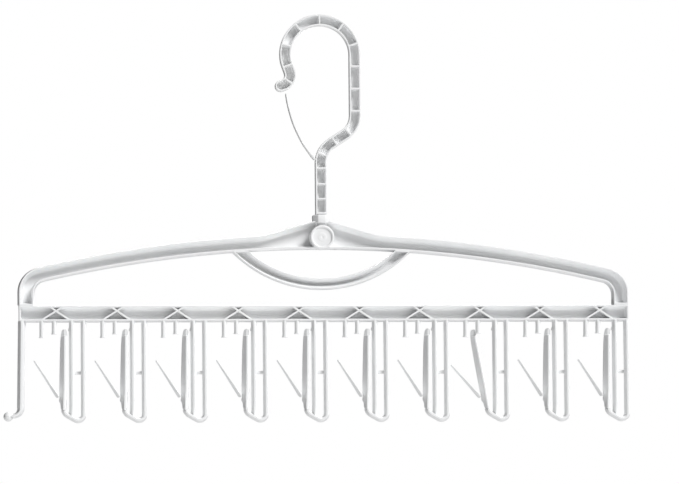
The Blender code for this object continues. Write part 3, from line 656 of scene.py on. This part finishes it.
def floor_material():
    mat = bpy.data.materials.new("floor_paper")
    mat.use_nodes = True
    nodes, links = mat.node_tree.nodes, mat.node_tree.links
    shader = nodes["Principled BSDF"]
    shader.inputs["Roughness"].default_value = 0.9
    shader.inputs["Specular IOR Level"].default_value = 0.2
    coords = nodes.new("ShaderNodeTexCoord")
    tex = nodes.new("ShaderNodeTexNoise")
    tex.inputs["Scale"].default_value = 3.0
    links.new(coords.outputs["Object"], tex.inputs["Vector"])
    ramp = nodes.new("ShaderNodeValToRGB")
    ramp.color_ramp.elements[0].color = (0.55, 0.55, 0.55, 1)
    ramp.color_ramp.elements[1].color = (0.58, 0.58, 0.58, 1)
    links.new(tex.outputs["Fac"], ramp.inputs["Fac"])
    links.new(ramp.outputs["Color"], shader.inputs["Base Color"])
    return mat


WHITE = (0.87, 0.875, 0.88)
hook_white = plastic("hook_plastic", WHITE, 0.34)
frame_white = plastic("frame_plastic", WHITE, 0.36)
clip_white = plastic("clip_plastic", WHITE, 0.38)
leaf_white = plastic("leaf_plastic", (0.88, 0.885, 0.89), 0.36)
cap_white = plastic("cap_plastic", (0.88, 0.885, 0.89), 0.26, grain=0.5)


def piece(name, mesh, mat, body, nodes, degrees=38.0, place=None):
    """A finished piece in place of frame nodes, riding on their body."""
    mesh.materials.clear()
    mesh.materials.append(mat)
    obj = bpy.data.objects.new(name, mesh)
    bpy.context.scene.collection.objects.link(obj)
    if not mesh.get("shaded"):
        mesh.shade_smooth()
        mesh.set_sharp_from_angle(angle=math.radians(degrees))
        mesh["shaded"] = 1
    if place is not None:
        obj.location, obj.rotation_euler = place
    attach(obj, body)
    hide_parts(*nodes)
    return obj


# ----------------------------------------------------------------------- hook
def hook_nodes():
    slant = math.radians(BEND_DEG)
    run = (CROWN_R - 2 * BEND_R * (1 - math.cos(slant))) / math.sin(slant)
    moves = (("L", STEM_RUN), ("A", BEND_R, -BEND_DEG), ("L", run), ("A", BEND_R, BEND_DEG),
             ("L", RIGHT_RUN), ("A", CROWN_R, 180.0), ("A", TIP_BACK_R, TIP_BACK_DEG),
             ("L", TIP_RUN), ("A", TIP_R, -TIP_DEG), ("L", TIP_END_RUN))
    nodes = walk(0.0, 0.0, 90.0, moves)
    # the top of the round inner arch is a hair above the frame's flat facet
    facet = (CROWN_R - HOOK_WIDTH / 2) * (1 - math.cos(math.radians(90.0 / CROWN_FACETS)))
    top = max(z for _, z, _ in nodes) - HOOK_WIDTH / 2
    return [(x, z - top + facet * 0.5, h) for x, z, h in nodes]


def make_hook():
    nodes = hook_nodes()
    half = HOOK_WIDTH / 2
    arc = arc_lengths(nodes)
    edges = [(s, side_point(n, half), side_point(n, -half)) for s, n in zip(arc, nodes)]
    span = arc[-1]
    stops = [HOOK_RIM + 0.35]
    for s in RIB_AT:
        stops += [s - HOOK_RIB / 2, s + HOOK_RIB / 2]
    stops.append(span)
    pockets = [(stops[k], stops[k + 1]) for k in range(0, len(stops), 2)]
    depth = HOOK_WEB_Y + HOOK_Y
    side = Wall(depth, 0.22, 0.22, 0.55)
    cross = Wall(depth, 0.2, 0.15, 0.5)
    mesh = trough("hook_moulding", edges, pockets, side, side, cross, (HOOK_RIM, HOOK_RIM),
                  -HOOK_Y, HOOK_Y, 0.0, outer=0.28, back=0.55, mid=2, ease=(0.25, 0.0),
                  open_ends=(False, True), fan=18)
    piece("hook_moulding", mesh, hook_white, "hook", ["hook"])
    return nodes[0][1]


def make_gate():
    points = smooth_curve(GATE_POINTS, 5)
    nodes = []
    for i, (x, z, _) in enumerate(points):
        before, after = points[max(0, i - 1)], points[min(len(points) - 1, i + 1)]
        nodes.append((x, z, math.degrees(math.atan2(after[1] - before[1], after[0] - before[0]))))
    half = GATE_THICK / 2
    box = [(half, -GATE_Y), (half, GATE_Y), (-half, GATE_Y), (-half, -GATE_Y)]
    section = rounded(box, [0.3] * 4)
    mesh = sweep("gate_leaf", nodes, section, [p[2] for p in points], ease=(0.1, 0.1))
    piece("gate_leaf", mesh, leaf_white, "gate", ["hook_gate"])


# ------------------------------------------------------------------------ hub
def arm_bottom(x):
    return ARM_BOTTOM_Z - x * x / (2 * ARM_SAG_R)


def peak(x):
    return PEAK_Z - PEAK_SLOPE * abs(x)


def arm_top(x):
    a = peak(x)
    b = ARM_CREST_Z - x * x / (2 * ARM_SAG_R)
    k = 0.55
    return k * math.log(math.exp((a + 150) / k) + math.exp((b + 150) / k)) - 150


def make_hub(stem_foot):
    top = stem_foot - GAP
    low, high = PIN_HEAD_Z
    profile = [(PIN_R - 0.3, 0.0), (PIN_R, -0.3), (PIN_R, high - top), (PIN_HEAD_R, high - top),
               (PIN_HEAD_R, high - top - 1.8), (PIN_HEAD_R - 1.3, low - top)]
    pin = turned("pin_turned", eased_profile(profile, [0, 0.1, 0.2, 0.25, 0.25, 0]),
                 (0.0, 0.0, top), "Z", 48)
    piece("swivel_pin_turned", pin, hook_white, "hook", ["swivel_pin"])

    # the hub block carries on the shoulders' channel up to the round boss
    side = BARREL_R - 1.0
    xs = [-HUB_HALF, -7.0, -side, side, 7.0, HUB_HALF]
    upper = [(x, peak(side) if abs(x) <= side else peak(x)) for x in xs]
    lower = [(x, arm_bottom(x)) for x in xs]
    arc = arc_lengths([(x, 0.0) for x in xs])
    edges = [(s, u, d) for s, u, d in zip(arc, upper, lower)]
    depth = WEB_Y + FRAME_Y
    block = trough("hub_block", edges, [(0.0, arc[-1])], Wall(depth, 0.22, ARM_DRAFT, ARM_FILLET),
                   Wall(depth, 0.22, 0.25, 0.6), Wall(depth), (RIM, RIM), -FRAME_Y, FRAME_Y, FLARE,
                   open_ends=(True, True))
    r = BARREL_R
    neck = turned("neck", eased_profile([(r - 2.6, -1.0), (3.7, -1.4), (3.7, -17.4), (r - 2.9, -18.4)],
                                        [0, 0.2, 0.4, 0]), (0.0, 0.0, BARREL_TOP), "Z", 72)
    # an eight-sided collar, its flats to the front and the sides
    rows = []
    for grow, t in ((-0.62, 0.0), (-0.5, -0.04), (-0.12, -0.4), (0.0, -0.62), (0.0, -4.9), (-0.1, -5.2),
                    (-0.35, -5.42), (-0.6, -5.5)):
        corner = (r - 0.02 + grow) / math.cos(math.radians(22.5))
        ring = [(corner * math.cos(math.radians(22.5 + 45 * k)), corner * math.sin(math.radians(22.5 + 45 * k)))
                for k in range(8)]
        rows.append([(x, y, BARREL_TOP + t) for x, y in rounded(ring, [0.6] * 8)])
    collar = loft("collar", rows)
    boss = turned("boss", eased_profile([(CAP_R - 0.25, 0.0), (CAP_R, 0.25), (CAP_R, 9.2), (CAP_R - 0.6, 9.8)],
                                        [0, 0.15, 0.4, 0]), (0.0, BOSS_FRONT_Y, CAP_Z), "Y", 96)
    bore = turned("bore", [(PIN_BORE_R, 1.0), (PIN_BORE_R, -9.0)], (0.0, 0.0, BARREL_TOP), "Z", 48)
    mesh = union_of("hub_moulding", [block, neck, collar, boss], [bore])
    piece("hub_moulding", mesh, frame_white, "frame", ["swivel_barrel"], 34.0)

    # the cap: raised ring, flat dished middle with a small moulding pip
    deep = CAP_FRONT_Y - BOSS_FRONT_Y + GAP
    ring, sunk = 1.35, deep + 0.85
    profile = [(CAP_R - 0.12, 0.0), (CAP_R, 0.12), (CAP_R, deep + 0.45), (CAP_R - 0.45, deep),
               (CAP_R - ring, deep), (CAP_R - ring - 0.3, sunk),
               (3.2, sunk), (2.2, sunk - 0.2), (0.9, sunk - 0.2), (0.62, sunk), (0.2, sunk + 0.04)]
    cap = turned("cap_disc", eased_profile(profile, [0, 0.1, 0.4, 0.4, 0.3, 0.35, 0.6, 0.5, 0.2, 0.2, 0]),
                 (0.0, BOSS_FRONT_Y - GAP, CAP_Z), "Y", 96)
    piece("cap_disc", cap, cap_white, "frame", ["hub_cap"], 34.0)


# ---------------------------------------------------------------------- frame
def arc_points(cx, cz, radius, start, stop, count):
    return [(cx + radius * math.cos(math.radians(start + (stop - start) * i / count)),
             cz + radius * math.sin(math.radians(start + (stop - start) * i / count)))
            for i in range(count + 1)]


def arm_edges(reach):
    slope_out = math.degrees(math.atan((reach - CORNER_R) / ARM_SAG_R))
    foot = RAIL_TOP + FLARE
    cx = reach - CORNER_R
    x_start = cx + CORNER_R * math.sin(math.radians(slope_out))
    top_z = arm_top(x_start)
    cz = top_z - CORNER_R * math.cos(math.radians(slope_out))
    inner_x = reach - FOOT_WIDTH
    ix = inner_x - CORNER_R_IN
    x_in = ix + CORNER_R_IN * math.sin(math.radians(slope_out))
    iz = arm_bottom(x_in) - CORNER_R_IN * math.cos(math.radians(slope_out))
    upper, lower = [], []
    start = HUB_HALF
    count = 76
    for k in range(count + 1):
        x = start + (178.0 - start) * k / count
        upper.append((x, arm_top(x)))
        lower.append((x, arm_bottom(x)))
    upper.append((x_start, top_z))
    lower.append((x_in - 1.0, arm_bottom(x_in - 1.0)))
    steps = 22
    upper += arc_points(cx, cz, CORNER_R, 90 - slope_out, 0, steps)[1:]
    lower += arc_points(ix, iz, CORNER_R_IN, 90 - slope_out, 0, steps)[1:]
    for k in range(1, 5):
        upper.append((reach, upper[-1][1] + (foot - upper[-1][1]) * k / 4))
        lower.append((inner_x, lower[-1][1] + (foot - lower[-1][1]) * k / 4))
    return upper, lower, foot


def ejector_marks(places, radius=1.9):
    """Cutters for the shallow round marks that the mould's pins leave on a flat back."""
    return joined("marks", [turned("mark", [(radius - 0.12, FRAME_Y - 0.16), (radius, FRAME_Y - 0.04), (radius, FRAME_Y + 0.5)],
                                   (x, 0.0, z), "Y", 40) for x, z in places])


def make_arms():
    depth = WEB_Y + FRAME_Y
    for name, sign, reach in (("right", 1.0, RIGHT_END), ("left", -1.0, LEFT_END)):
        upper, lower, foot = arm_edges(reach)
        arc = arc_lengths([((a[0] + b[0]) / 2, (a[1] + b[1]) / 2) for a, b in zip(upper, lower)])
        edges = [(s, (sign * a[0], a[1]), (sign * b[0], b[1])) for s, a, b in zip(arc, upper, lower)]
        mesh = trough(name + "_shoulder", edges, [(0.0, arc[-1] - RIM)],
                      Wall(depth, 0.22, ARM_DRAFT, ARM_FILLET), Wall(depth, 0.22, 0.25, 0.6),
                      Wall(depth, 0.22, 0.3, 0.6), (RIM, RIM), -FRAME_Y, FRAME_Y, FLARE,
                      open_ends=(True, False), ease=(0.0, 0.12))

        def follow(x, y, z):
            lift = FLARE * (y + FRAME_Y) / (2 * FRAME_Y) - FLARE
            return z + lift * max(0.0, 1.0 - max(0.0, z - foot) / 2.5)

        set_heights(mesh, follow)
        marks = [(sign * x, (arm_top(x) + arm_bottom(x)) / 2) for x in (26.0, 62.0, 100.0, 138.0, 174.0)]
        marks.append((sign * (reach - FOOT_WIDTH / 2), RAIL_TOP + 9.0))
        mesh = union_of(name + "_shoulder", [mesh], [ejector_marks(marks)])
        piece(name + "_shoulder", mesh, frame_white, "frame", [name + "_arm"])


def make_bow():
    out_a = math.degrees(math.acos((BOW_Z - BOW_TOP_Z) / BOW_R_OUT))
    in_a = math.degrees(math.acos((BOW_Z - BOW_TOP_Z) / BOW_R_IN))
    count = 72
    outer = arc_points(0.0, BOW_Z, BOW_R_OUT, 270 - out_a, 270 + out_a, count)
    inner = arc_points(0.0, BOW_Z, BOW_R_IN, 270 - in_a, 270 + in_a, count)
    arc = arc_lengths([((a[0] + b[0]) / 2, (a[1] + b[1]) / 2) for a, b in zip(inner, outer)])
    edges = list(zip(arc, inner, outer))
    depth = WEB_Y + FRAME_Y
    mesh = trough("lower_bow", edges, [(1.3, arc[-1] - 1.3)], Wall(depth, 0.22, BOW_DRAFT, BOW_FILLET),
                  Wall(depth, 0.3, 1.8, 0.4), Wall(depth, 0.22, 0.3, 0.6), (0.8, 0.85),
                  -FRAME_Y, FRAME_Y, 0.35, mid=1, ease=(0.12, 0.12))

    def follow(x, y, z):
        rise = arm_bottom(x) + 0.25 - FLARE * (y + FRAME_Y) / (2 * FRAME_Y) - BOW_TOP_Z
        return z + rise * max(0.0, 1.0 - max(0.0, BOW_TOP_Z - z) / 3.0)

    set_heights(mesh, follow)
    piece("lower_bow", mesh, frame_white, "frame", ["grip_bow"])


# ----------------------------------------------------------------------- rail
def cross_x(i):
    return CROSS_X0 + PITCH * i


def under_rail(y):
    return RAIL_BOTTOM + 0.25 - FLARE * (y + FRAME_Y) / (2 * FRAME_Y)


def make_rail():
    left, long = -LEFT_END, LEFT_END + RIGHT_END
    depth = RAIL_WEB_Y + FRAME_Y
    runs = 24
    edges = [(long * k / runs, (left + long * k / runs, RAIL_TOP),
              (left + long * k / runs, RAIL_BOTTOM)) for k in range(runs + 1)]
    rail = trough("rail", edges, [(RIM, long - RIM)], Wall(depth, 0.22, RAIL_DRAFT, RAIL_FILLET),
                  Wall(depth, 0.22, 0.2, 0.5), Wall(depth, 0.22, 0.7, 0.6), (RIM, RIM),
                  -FRAME_Y, FRAME_Y, FLARE, ease=(0.2, 0.2))
    groups = [[], [], []]
    for i in range(CLIPS):
        cx = cross_x(i)
        for k, (foot, head) in enumerate((CROSS_RISE, CROSS_FALL)):
            p = (cx + foot[0], CROSS_Z + foot[1])
            q = (cx + head[0], CROSS_Z + head[1])
            # widest at the floor, as the tool needs
            y0 = -FRAME_Y + 0.05 + 0.1 * k
            groups[k].append(bar_mesh("rib", p, q, RIB_T, y0, RAIL_WEB_Y + 0.6 + 0.1 * k, 0.22))
    front = 0.5
    section = rounded([(front, 0.1 - FRAME_Y), (1.55, -2.4), (1.55, PEG_BACK_Y), (-1.55, PEG_BACK_Y),
                       (-1.55, -2.4), (-front, 0.1 - FRAME_Y)], [0.18, 0.3, 0.3, 0.3, 0.3, 0.18])
    for i in range(CLIPS):
        for dx, length in PEGS:
            x, z = cross_x(i) + dx, RAIL_BOTTOM
            nodes = [(x, z + 0.6, 270.0), (x, z - length * 0.5, 270.0), (x, z - length + 1.5, 270.0),
                     (x, z - length + 0.9, 270.0), (x, z - length + 0.4, 270.0), (x, z - length, 270.0)]
            groups[2].append(sweep("peg", nodes, section, [1.0, 1.0, 1.02, 1.12, 1.26, 1.35], ease=(0.0, 0.15)))
    marks = [(cross_x(i) + PITCH / 2, (RAIL_TOP + RAIL_BOTTOM) / 2) for i in range(CLIPS - 1)]
    mesh = union_of("rail_moulding", [rail] + [joined("g%d" % k, g) for k, g in enumerate(groups)],
                    [ejector_marks(marks, 1.7)])
    piece("rail_moulding", mesh, frame_white, "frame", ["clip_rail"], 34.0)


# ---------------------------------------------------------------------- clips
def strip_outline(front, back, shoulder_y, y0, y1):
    return rounded([(front, y0), (back, shoulder_y), (back, y1), (-back, y1), (-back, shoulder_y), (-front, y0)],
                   [0.22, 0.5, 0.4, 0.4, 0.5, 0.22])


def leg_mesh():
    section = strip_outline(STRIP_FRONT, STRIP_BACK, STRIP_SHOULDER_Y, -FRAME_Y, CLIP_BACK_Y)
    # the band starts high, so that its end cups the arm's round heel
    a = math.radians(CUP_START)
    band = walk(FOOT_X - FOOT_R * math.cos(a), FOOT_Z - FOOT_R * math.sin(a), -90.0 + CUP_START,
                (("A", FOOT_R, FOOT_DEG - CUP_START), ("L", FOOT_RUN), ("A", TURN_R, 120.0)),
                step_deg=6.0, run_step=2.0)
    shift = OUTER_X - band[-1][0]
    band = [(x + shift * k / (len(band) - 1), z, h) for k, (x, z, h) in enumerate(band)]
    top = under_rail(0.0)
    low = band[-1][1]
    band += [(OUTER_X, low + (top - low) * k / 8, 90.0) for k in range(1, 9)]
    outer = sweep("leg_band", band, section, ease=(0.05, 0.12))
    heel = turned("heel", [(CUP_R, -FRAME_Y - 1.0), (CUP_R, CLIP_BACK_Y + 1.0)], (PIVOT_X, 0.0, PIVOT_Z), "Y", 72)
    inner_section = strip_outline(STRIP_FRONT, STRIP_BACK, STRIP_SHOULDER_Y, -FRAME_Y + 0.02, CLIP_BACK_Y - 0.1)
    inner = sweep("inner_strip", [(INNER_X, top + (-257.4 - top) * k / 8, 270.0) for k in range(9)],
                  inner_section, ease=(0.12, 0.0))

    def follow(x, y, z):
        return z + (under_rail(y) - top) * max(0.0, 1.0 - max(0.0, top - z) / 2.0)

    for mesh in (outer, inner):
        set_heights(mesh, follow)
    # the cross bar, slightly waisted, and the little ramp that an arm's tip rests under
    mid_z = (BAR_Z[0] + BAR_Z[1]) / 2
    tall = (BAR_Z[1] - BAR_Z[0]) / 2
    bar_nodes = [(INNER_X + (OUTER_X - INNER_X) * k / 6, mid_z, 0.0) for k in range(7)]
    bar_section = rounded([(tall, -0.4), (tall, CLIP_BACK_Y - 0.3), (-tall, CLIP_BACK_Y - 0.3), (-tall, -0.4)],
                          [0.35] * 4)
    bar = sweep("bar", bar_nodes, bar_section, [1.0, 1.0, 0.93, 0.9, 0.93, 1.0, 1.0])
    left = INNER_X - STRIP_BACK
    catch = prism("catch", rounded([(left - 0.75, CATCH_Z - 0.9), (left + 0.6, CATCH_Z - 0.9),
                                    (left + 0.6, CATCH_Z + 2.2), (left - 0.2, CATCH_Z + 1.2)],
                                   [0.25, 0, 0, 0.3]), STRIP_SHOULDER_Y, CLIP_BACK_Y - 0.2, 0.15)
    return union_of("leg_strip", [outer, inner, bar, catch], [heel])


def arm_mesh():
    """The spring arm about its bend, standing closed, with the stepped tip."""
    table = smooth_curve(ARM_ROWS, 5)
    heights = sorted({round(r[0], 4) for r in table} | {STEP_Z - 0.3, STEP_Z - 0.12, STEP_Z, STEP_Z + 0.1, STEP_Z + 0.3})

    def at(z):
        for p, q in zip(table, table[1:]):
            if p[0] <= z <= q[0] or z <= p[0]:
                t = max(0.0, (z - p[0]) / (q[0] - p[0]))
                return lerp(p, q, t)
        return table[-1]

    rows = []
    for z in heights:
        _, bl, fl, fr, br = at(z)
        # the flank is fuller where the tongue leaves it
        near = fl - (0.35 + 0.45 * math.exp(-((z - TONGUE_ROOT[1] + 0.3) / 1.4) ** 2)) * (fl - bl)
        # the front steps back at the tip, through a small fillet, and the flank slants there too
        t = max(0.0, min(1.0, (z - (STEP_Z - 0.12)) / 0.24))
        front = -FRAME_Y + (STEP_Y + FRAME_Y) * t
        shoulder = ARM_SHOULDER_Y + 0.9 * t

        def left_at(y):
            if y <= -2.2:
                return fl + (near - fl) * (y + FRAME_Y) / (FRAME_Y - 2.2)
            return near + (bl - near) * min(1.0, (y + 2.2) / (ARM_SHOULDER_Y + 2.2))

        def right_at(y):
            return fr + (br - fr) * min(1.0, (y + FRAME_Y) / (ARM_SHOULDER_Y + FRAME_Y))

        y2 = front + (shoulder - front) * 0.41
        x1 = left_at(front) + (fl - left_at(front)) * t
        x2 = left_at(y2) + (fl - 0.38 * (fl - bl) - left_at(y2)) * t
        outline = [(x1, front), (x2, y2), (bl, shoulder), (bl, CLIP_BACK_Y),
                   (br, CLIP_BACK_Y), (br, ARM_SHOULDER_Y), (right_at(front), front)]
        section = rounded(outline, [0.2, 0.0, 0.45, 0.35, 0.35, 0.45, 0.2])
        rows.append((z, section))
    count = max(len(s) for _, s in rows)
    rows = [[(x - PIVOT_X, y, z - PIVOT_Z) for x, y in s] for z, s in rows if len(s) == count]
    return loft("spring_arm", rows, (0.12, 0.12))


def tongue_mesh():
    dx, dz = TONGUE_TIP[0] - TONGUE_ROOT[0], TONGUE_TIP[1] - TONGUE_ROOT[1]
    length = math.hypot(dx, dz)
    heading = math.atan2(dz, dx)
    y0, y1 = TONGUE_Y
    # the thin front edge runs along the upper side; the lower side slopes back from it
    section = rounded([(-0.04, y0), (0.5, y0 + 3.2), (0.5, y1), (-0.5, y1), (-0.5, y0 + 2.4), (-0.36, y0)],
                      [0.07, 0.25, 0.2, 0.2, 0.25, 0.07])
    thick, thin = TONGUE_THICK
    along = [(-thick / 2 * math.cos(math.radians(a)), thick * max(0.15, math.sin(math.radians(a))))
             for a in (6, 20, 34, 48, 62, 76, 90)]
    along += [(1.0 + (length - 1.4) * k / 12, thin + (thick - thin) * (1.0 - k / 12) ** 1.5) for k in range(13)]
    along.append((length, thin * 0.5))
    nodes = [(math.cos(heading) * t, math.sin(heading) * t, math.degrees(heading)) for t, _ in along]
    return sweep("sock_tongue", nodes, section, [w for _, w in along])


def turned_about(point, centre, degrees):
    a = math.radians(degrees)
    dx, dz = point[0] - centre[0], point[1] - centre[1]
    return (centre[0] + dx * math.cos(a) - dz * math.sin(a),
            centre[1] + dx * math.sin(a) + dz * math.cos(a))


def make_clips():
    leg, arm, tongue = leg_mesh(), arm_mesh(), tongue_mesh()
    for i in range(CLIPS):
        number = "%02d" % (i + 1)
        cx = cross_x(i)
        opened = OPEN_DEG if i + 1 == OPEN_CLIP else 0.0
        turn = OPEN_TONGUE_DEG if i + 1 == OPEN_CLIP else 0.0
        piece("leg_strip_" + number, leg, clip_white, "frame", ["clip_leg_" + number],
              place=((cx * MM, 0.0, 0.0), (0.0, 0.0, 0.0)))
        piece("spring_arm_" + number, arm, leaf_white, "clip_" + number + "_arm",
              ["clip_arm_" + number],
              place=(((cx + PIVOT_X) * MM, 0.0, PIVOT_Z * MM), (0.0, -math.radians(opened), 0.0)))
        root = turned_about(TONGUE_ROOT, (PIVOT_X, PIVOT_Z), opened)
        piece("sock_tongue_" + number, tongue, leaf_white, "clip_" + number + "_tongue",
              ["clip_tongue_" + number],
              place=(((cx + root[0]) * MM, 0.0, root[1] * MM), (0.0, -math.radians(turn), 0.0)))


def make_end_leg():
    section = strip_outline(END_FRONT, END_HALF, STRIP_SHOULDER_Y, -FRAME_Y, CLIP_BACK_Y)
    top = under_rail(0.0)
    nodes = walk(END_X, top, 269.2, (("L", END_RUN), ("A", END_BEND_R, -END_BEND_DEG), ("L", END_CURL)),
                 step_deg=4.0)
    arc = arc_lengths(nodes)
    taper = [1.0 - 0.5 * max(0.0, (s - END_RUN) / (arc[-1] - END_RUN)) for s in arc]
    mesh = sweep("end_leg", nodes, section, taper, ease=(0.12, 0.1))

    def follow(x, y, z):
        return z + (under_rail(y) - top) * max(0.0, 1.0 - max(0.0, top - z) / 2.0)

    set_heights(mesh, follow)
    end = nodes[-1]
    middle = (CLIP_BACK_Y - FRAME_Y) / 2
    profile = [(max(0.02, BALL_R * math.sin(math.radians(a))), -BALL_R * math.cos(math.radians(a)))
               for a in range(0, 181, 6)]
    ball = turned("ball", profile, (end[0] - 1.8, middle, end[1] - 0.15), "Y", 48)
    mesh = union_of("end_leg_moulding", [mesh, ball])
    piece("end_leg_moulding", mesh, clip_white, "frame", ["end_hook_leg"])


# ---------------------------------------------------------------------- stage
def make_floor():
    """A wide round sheet far below the hanging object."""
    bm = bmesh.new()
    rings, sides = 12, 96
    last = [bm.verts.new((0.0, 0.0, 0.0))]
    for r in range(1, rings + 1):
        radius = 9.0 * (r / rings) ** 2
        ring = [bm.verts.new((radius * math.cos(2 * math.pi * k / sides),
                              radius * math.sin(2 * math.pi * k / sides), 0.0)) for k in range(sides)]
        for k in range(sides):
            m = (k + 1) % sides
            if r == 1:
                bm.faces.new((last[0], ring[k], ring[m]))
            else:
                bm.faces.new((last[k], ring[k], ring[m], last[m]))
        last = ring
    mesh = bpy.data.meshes.new("floor")
    bm.to_mesh(mesh)
    bm.free()
    mesh.materials.append(floor_material())
    floor = bpy.data.objects.new("floor", mesh)
    floor.location = (0.0, 0.0, -0.62)
    # the lamp below shines past it
    floor.visible_shadow = False
    bpy.context.scene.collection.objects.link(floor)


def aim(obj, point):
    back = (obj.location - Vector(point)).normalized()
    obj.rotation_mode = "QUATERNION"
    obj.rotation_quaternion = back.to_track_quat("Z", "Y")


def make_lights():
    def sun(name, azimuth, elevation, strength, angle):
        """A soft lamp; azimuth is counted from the front toward +X."""
        a, e = math.radians(azimuth), math.radians(elevation)
        data = bpy.data.lights.new(name, "SUN")
        data.energy = strength
        data.angle = math.radians(angle)
        lamp = bpy.data.objects.new(name, data)
        bpy.context.scene.collection.objects.link(lamp)
        lamp.location = Vector((math.sin(a) * math.cos(e), -math.cos(a) * math.cos(e), math.sin(e))) * 3.0
        aim(lamp, (0.0, 0.0, 0.0))

    # a broad key from the upper right front, a lift from below the front, a glow from behind
    sun("key", 43.0, 43.0, KEY, 22.0)
    sun("lift", 10.0, -43.0, LIFT, 75.0)
    sun("behind", 162.0, 16.0, BEHIND, 35.0)

    world = bpy.data.worlds.new("studio")
    bpy.context.scene.world = world
    world.use_nodes = True
    nodes, links = world.node_tree.nodes, world.node_tree.links
    nodes.clear()
    out = nodes.new("ShaderNodeOutputWorld")
    coords = nodes.new("ShaderNodeTexCoord")
    split = nodes.new("ShaderNodeSeparateXYZ")
    links.new(coords.outputs["Generated"], split.inputs[0])
    # the room is dim; only the sheet behind the object is a little brighter
    rear = nodes.new("ShaderNodeMath")
    rear.operation = "MAXIMUM"
    links.new(split.outputs[1], rear.inputs[0])
    rear.inputs[1].default_value = 0.0
    level = nodes.new("ShaderNodeMath")
    level.operation = "MULTIPLY_ADD"
    links.new(rear.outputs[0], level.inputs[0])
    level.inputs[1].default_value = 0.05
    level.inputs[2].default_value = ROOM
    dome = nodes.new("ShaderNodeBackground")
    links.new(level.outputs[0], dome.inputs["Strength"])
    dome.inputs["Color"].default_value = (1.0, 1.0, 1.0, 1.0)
    plain = nodes.new("ShaderNodeBackground")
    plain.inputs["Color"].default_value = (1.0, 1.0, 1.0, 1.0)
    plain.inputs["Strength"].default_value = 1.0
    path = nodes.new("ShaderNodeLightPath")
    mix = nodes.new("ShaderNodeMixShader")
    links.new(path.outputs["Is Camera Ray"], mix.inputs[0])
    links.new(dome.outputs[0], mix.inputs[1])
    links.new(plain.outputs[0], mix.inputs[2])
    links.new(mix.outputs[0], out.inputs["Surface"])


def make_camera():
    data = bpy.data.cameras.new("camera")
    cam = bpy.data.objects.new("camera", data)
    bpy.context.scene.collection.objects.link(cam)
    a, e = math.radians(CAM_AZ), math.radians(CAM_EL)
    back = Vector((math.sin(a) * math.cos(e), -math.cos(a) * math.cos(e), math.sin(e)))
    cam.location = Vector(TARGET) + back * CAM_DIST
    right = Vector((math.cos(a), math.sin(a), 0.0))
    up = back.cross(right)
    r = math.radians(CAM_ROLL)
    x_axis = right * math.cos(r) + up * math.sin(r)
    y_axis = up * math.cos(r) - right * math.sin(r)
    cam.matrix_world = Matrix(((x_axis.x, y_axis.x, back.x, cam.location.x),
                               (x_axis.y, y_axis.y, back.y, cam.location.y),
                               (x_axis.z, y_axis.z, back.z, cam.location.z),
                               (0.0, 0.0, 0.0, 1.0)))
    data.sensor_width = 36.0
    data.sensor_fit = "HORIZONTAL"
    data.lens = CAM_FOCAL_PX * 36.0 / IMAGE_W
    data.shift_x = CAM_SHIFT[0] / IMAGE_W
    data.shift_y = CAM_SHIFT[1] / IMAGE_W
    data.clip_start, data.clip_end = 0.05, 60.0
    bpy.context.scene.camera = cam


stem_foot = make_hook()
make_gate()
make_hub(stem_foot)
make_arms()
make_bow()
make_rail()
make_end_leg()
make_clips()
make_floor()
make_lights()
make_camera()

view = bpy.context.scene.view_settings
view.view_transform = "Standard"
view.look = "None"
view.exposure = 0.0
view.gamma = 1.0
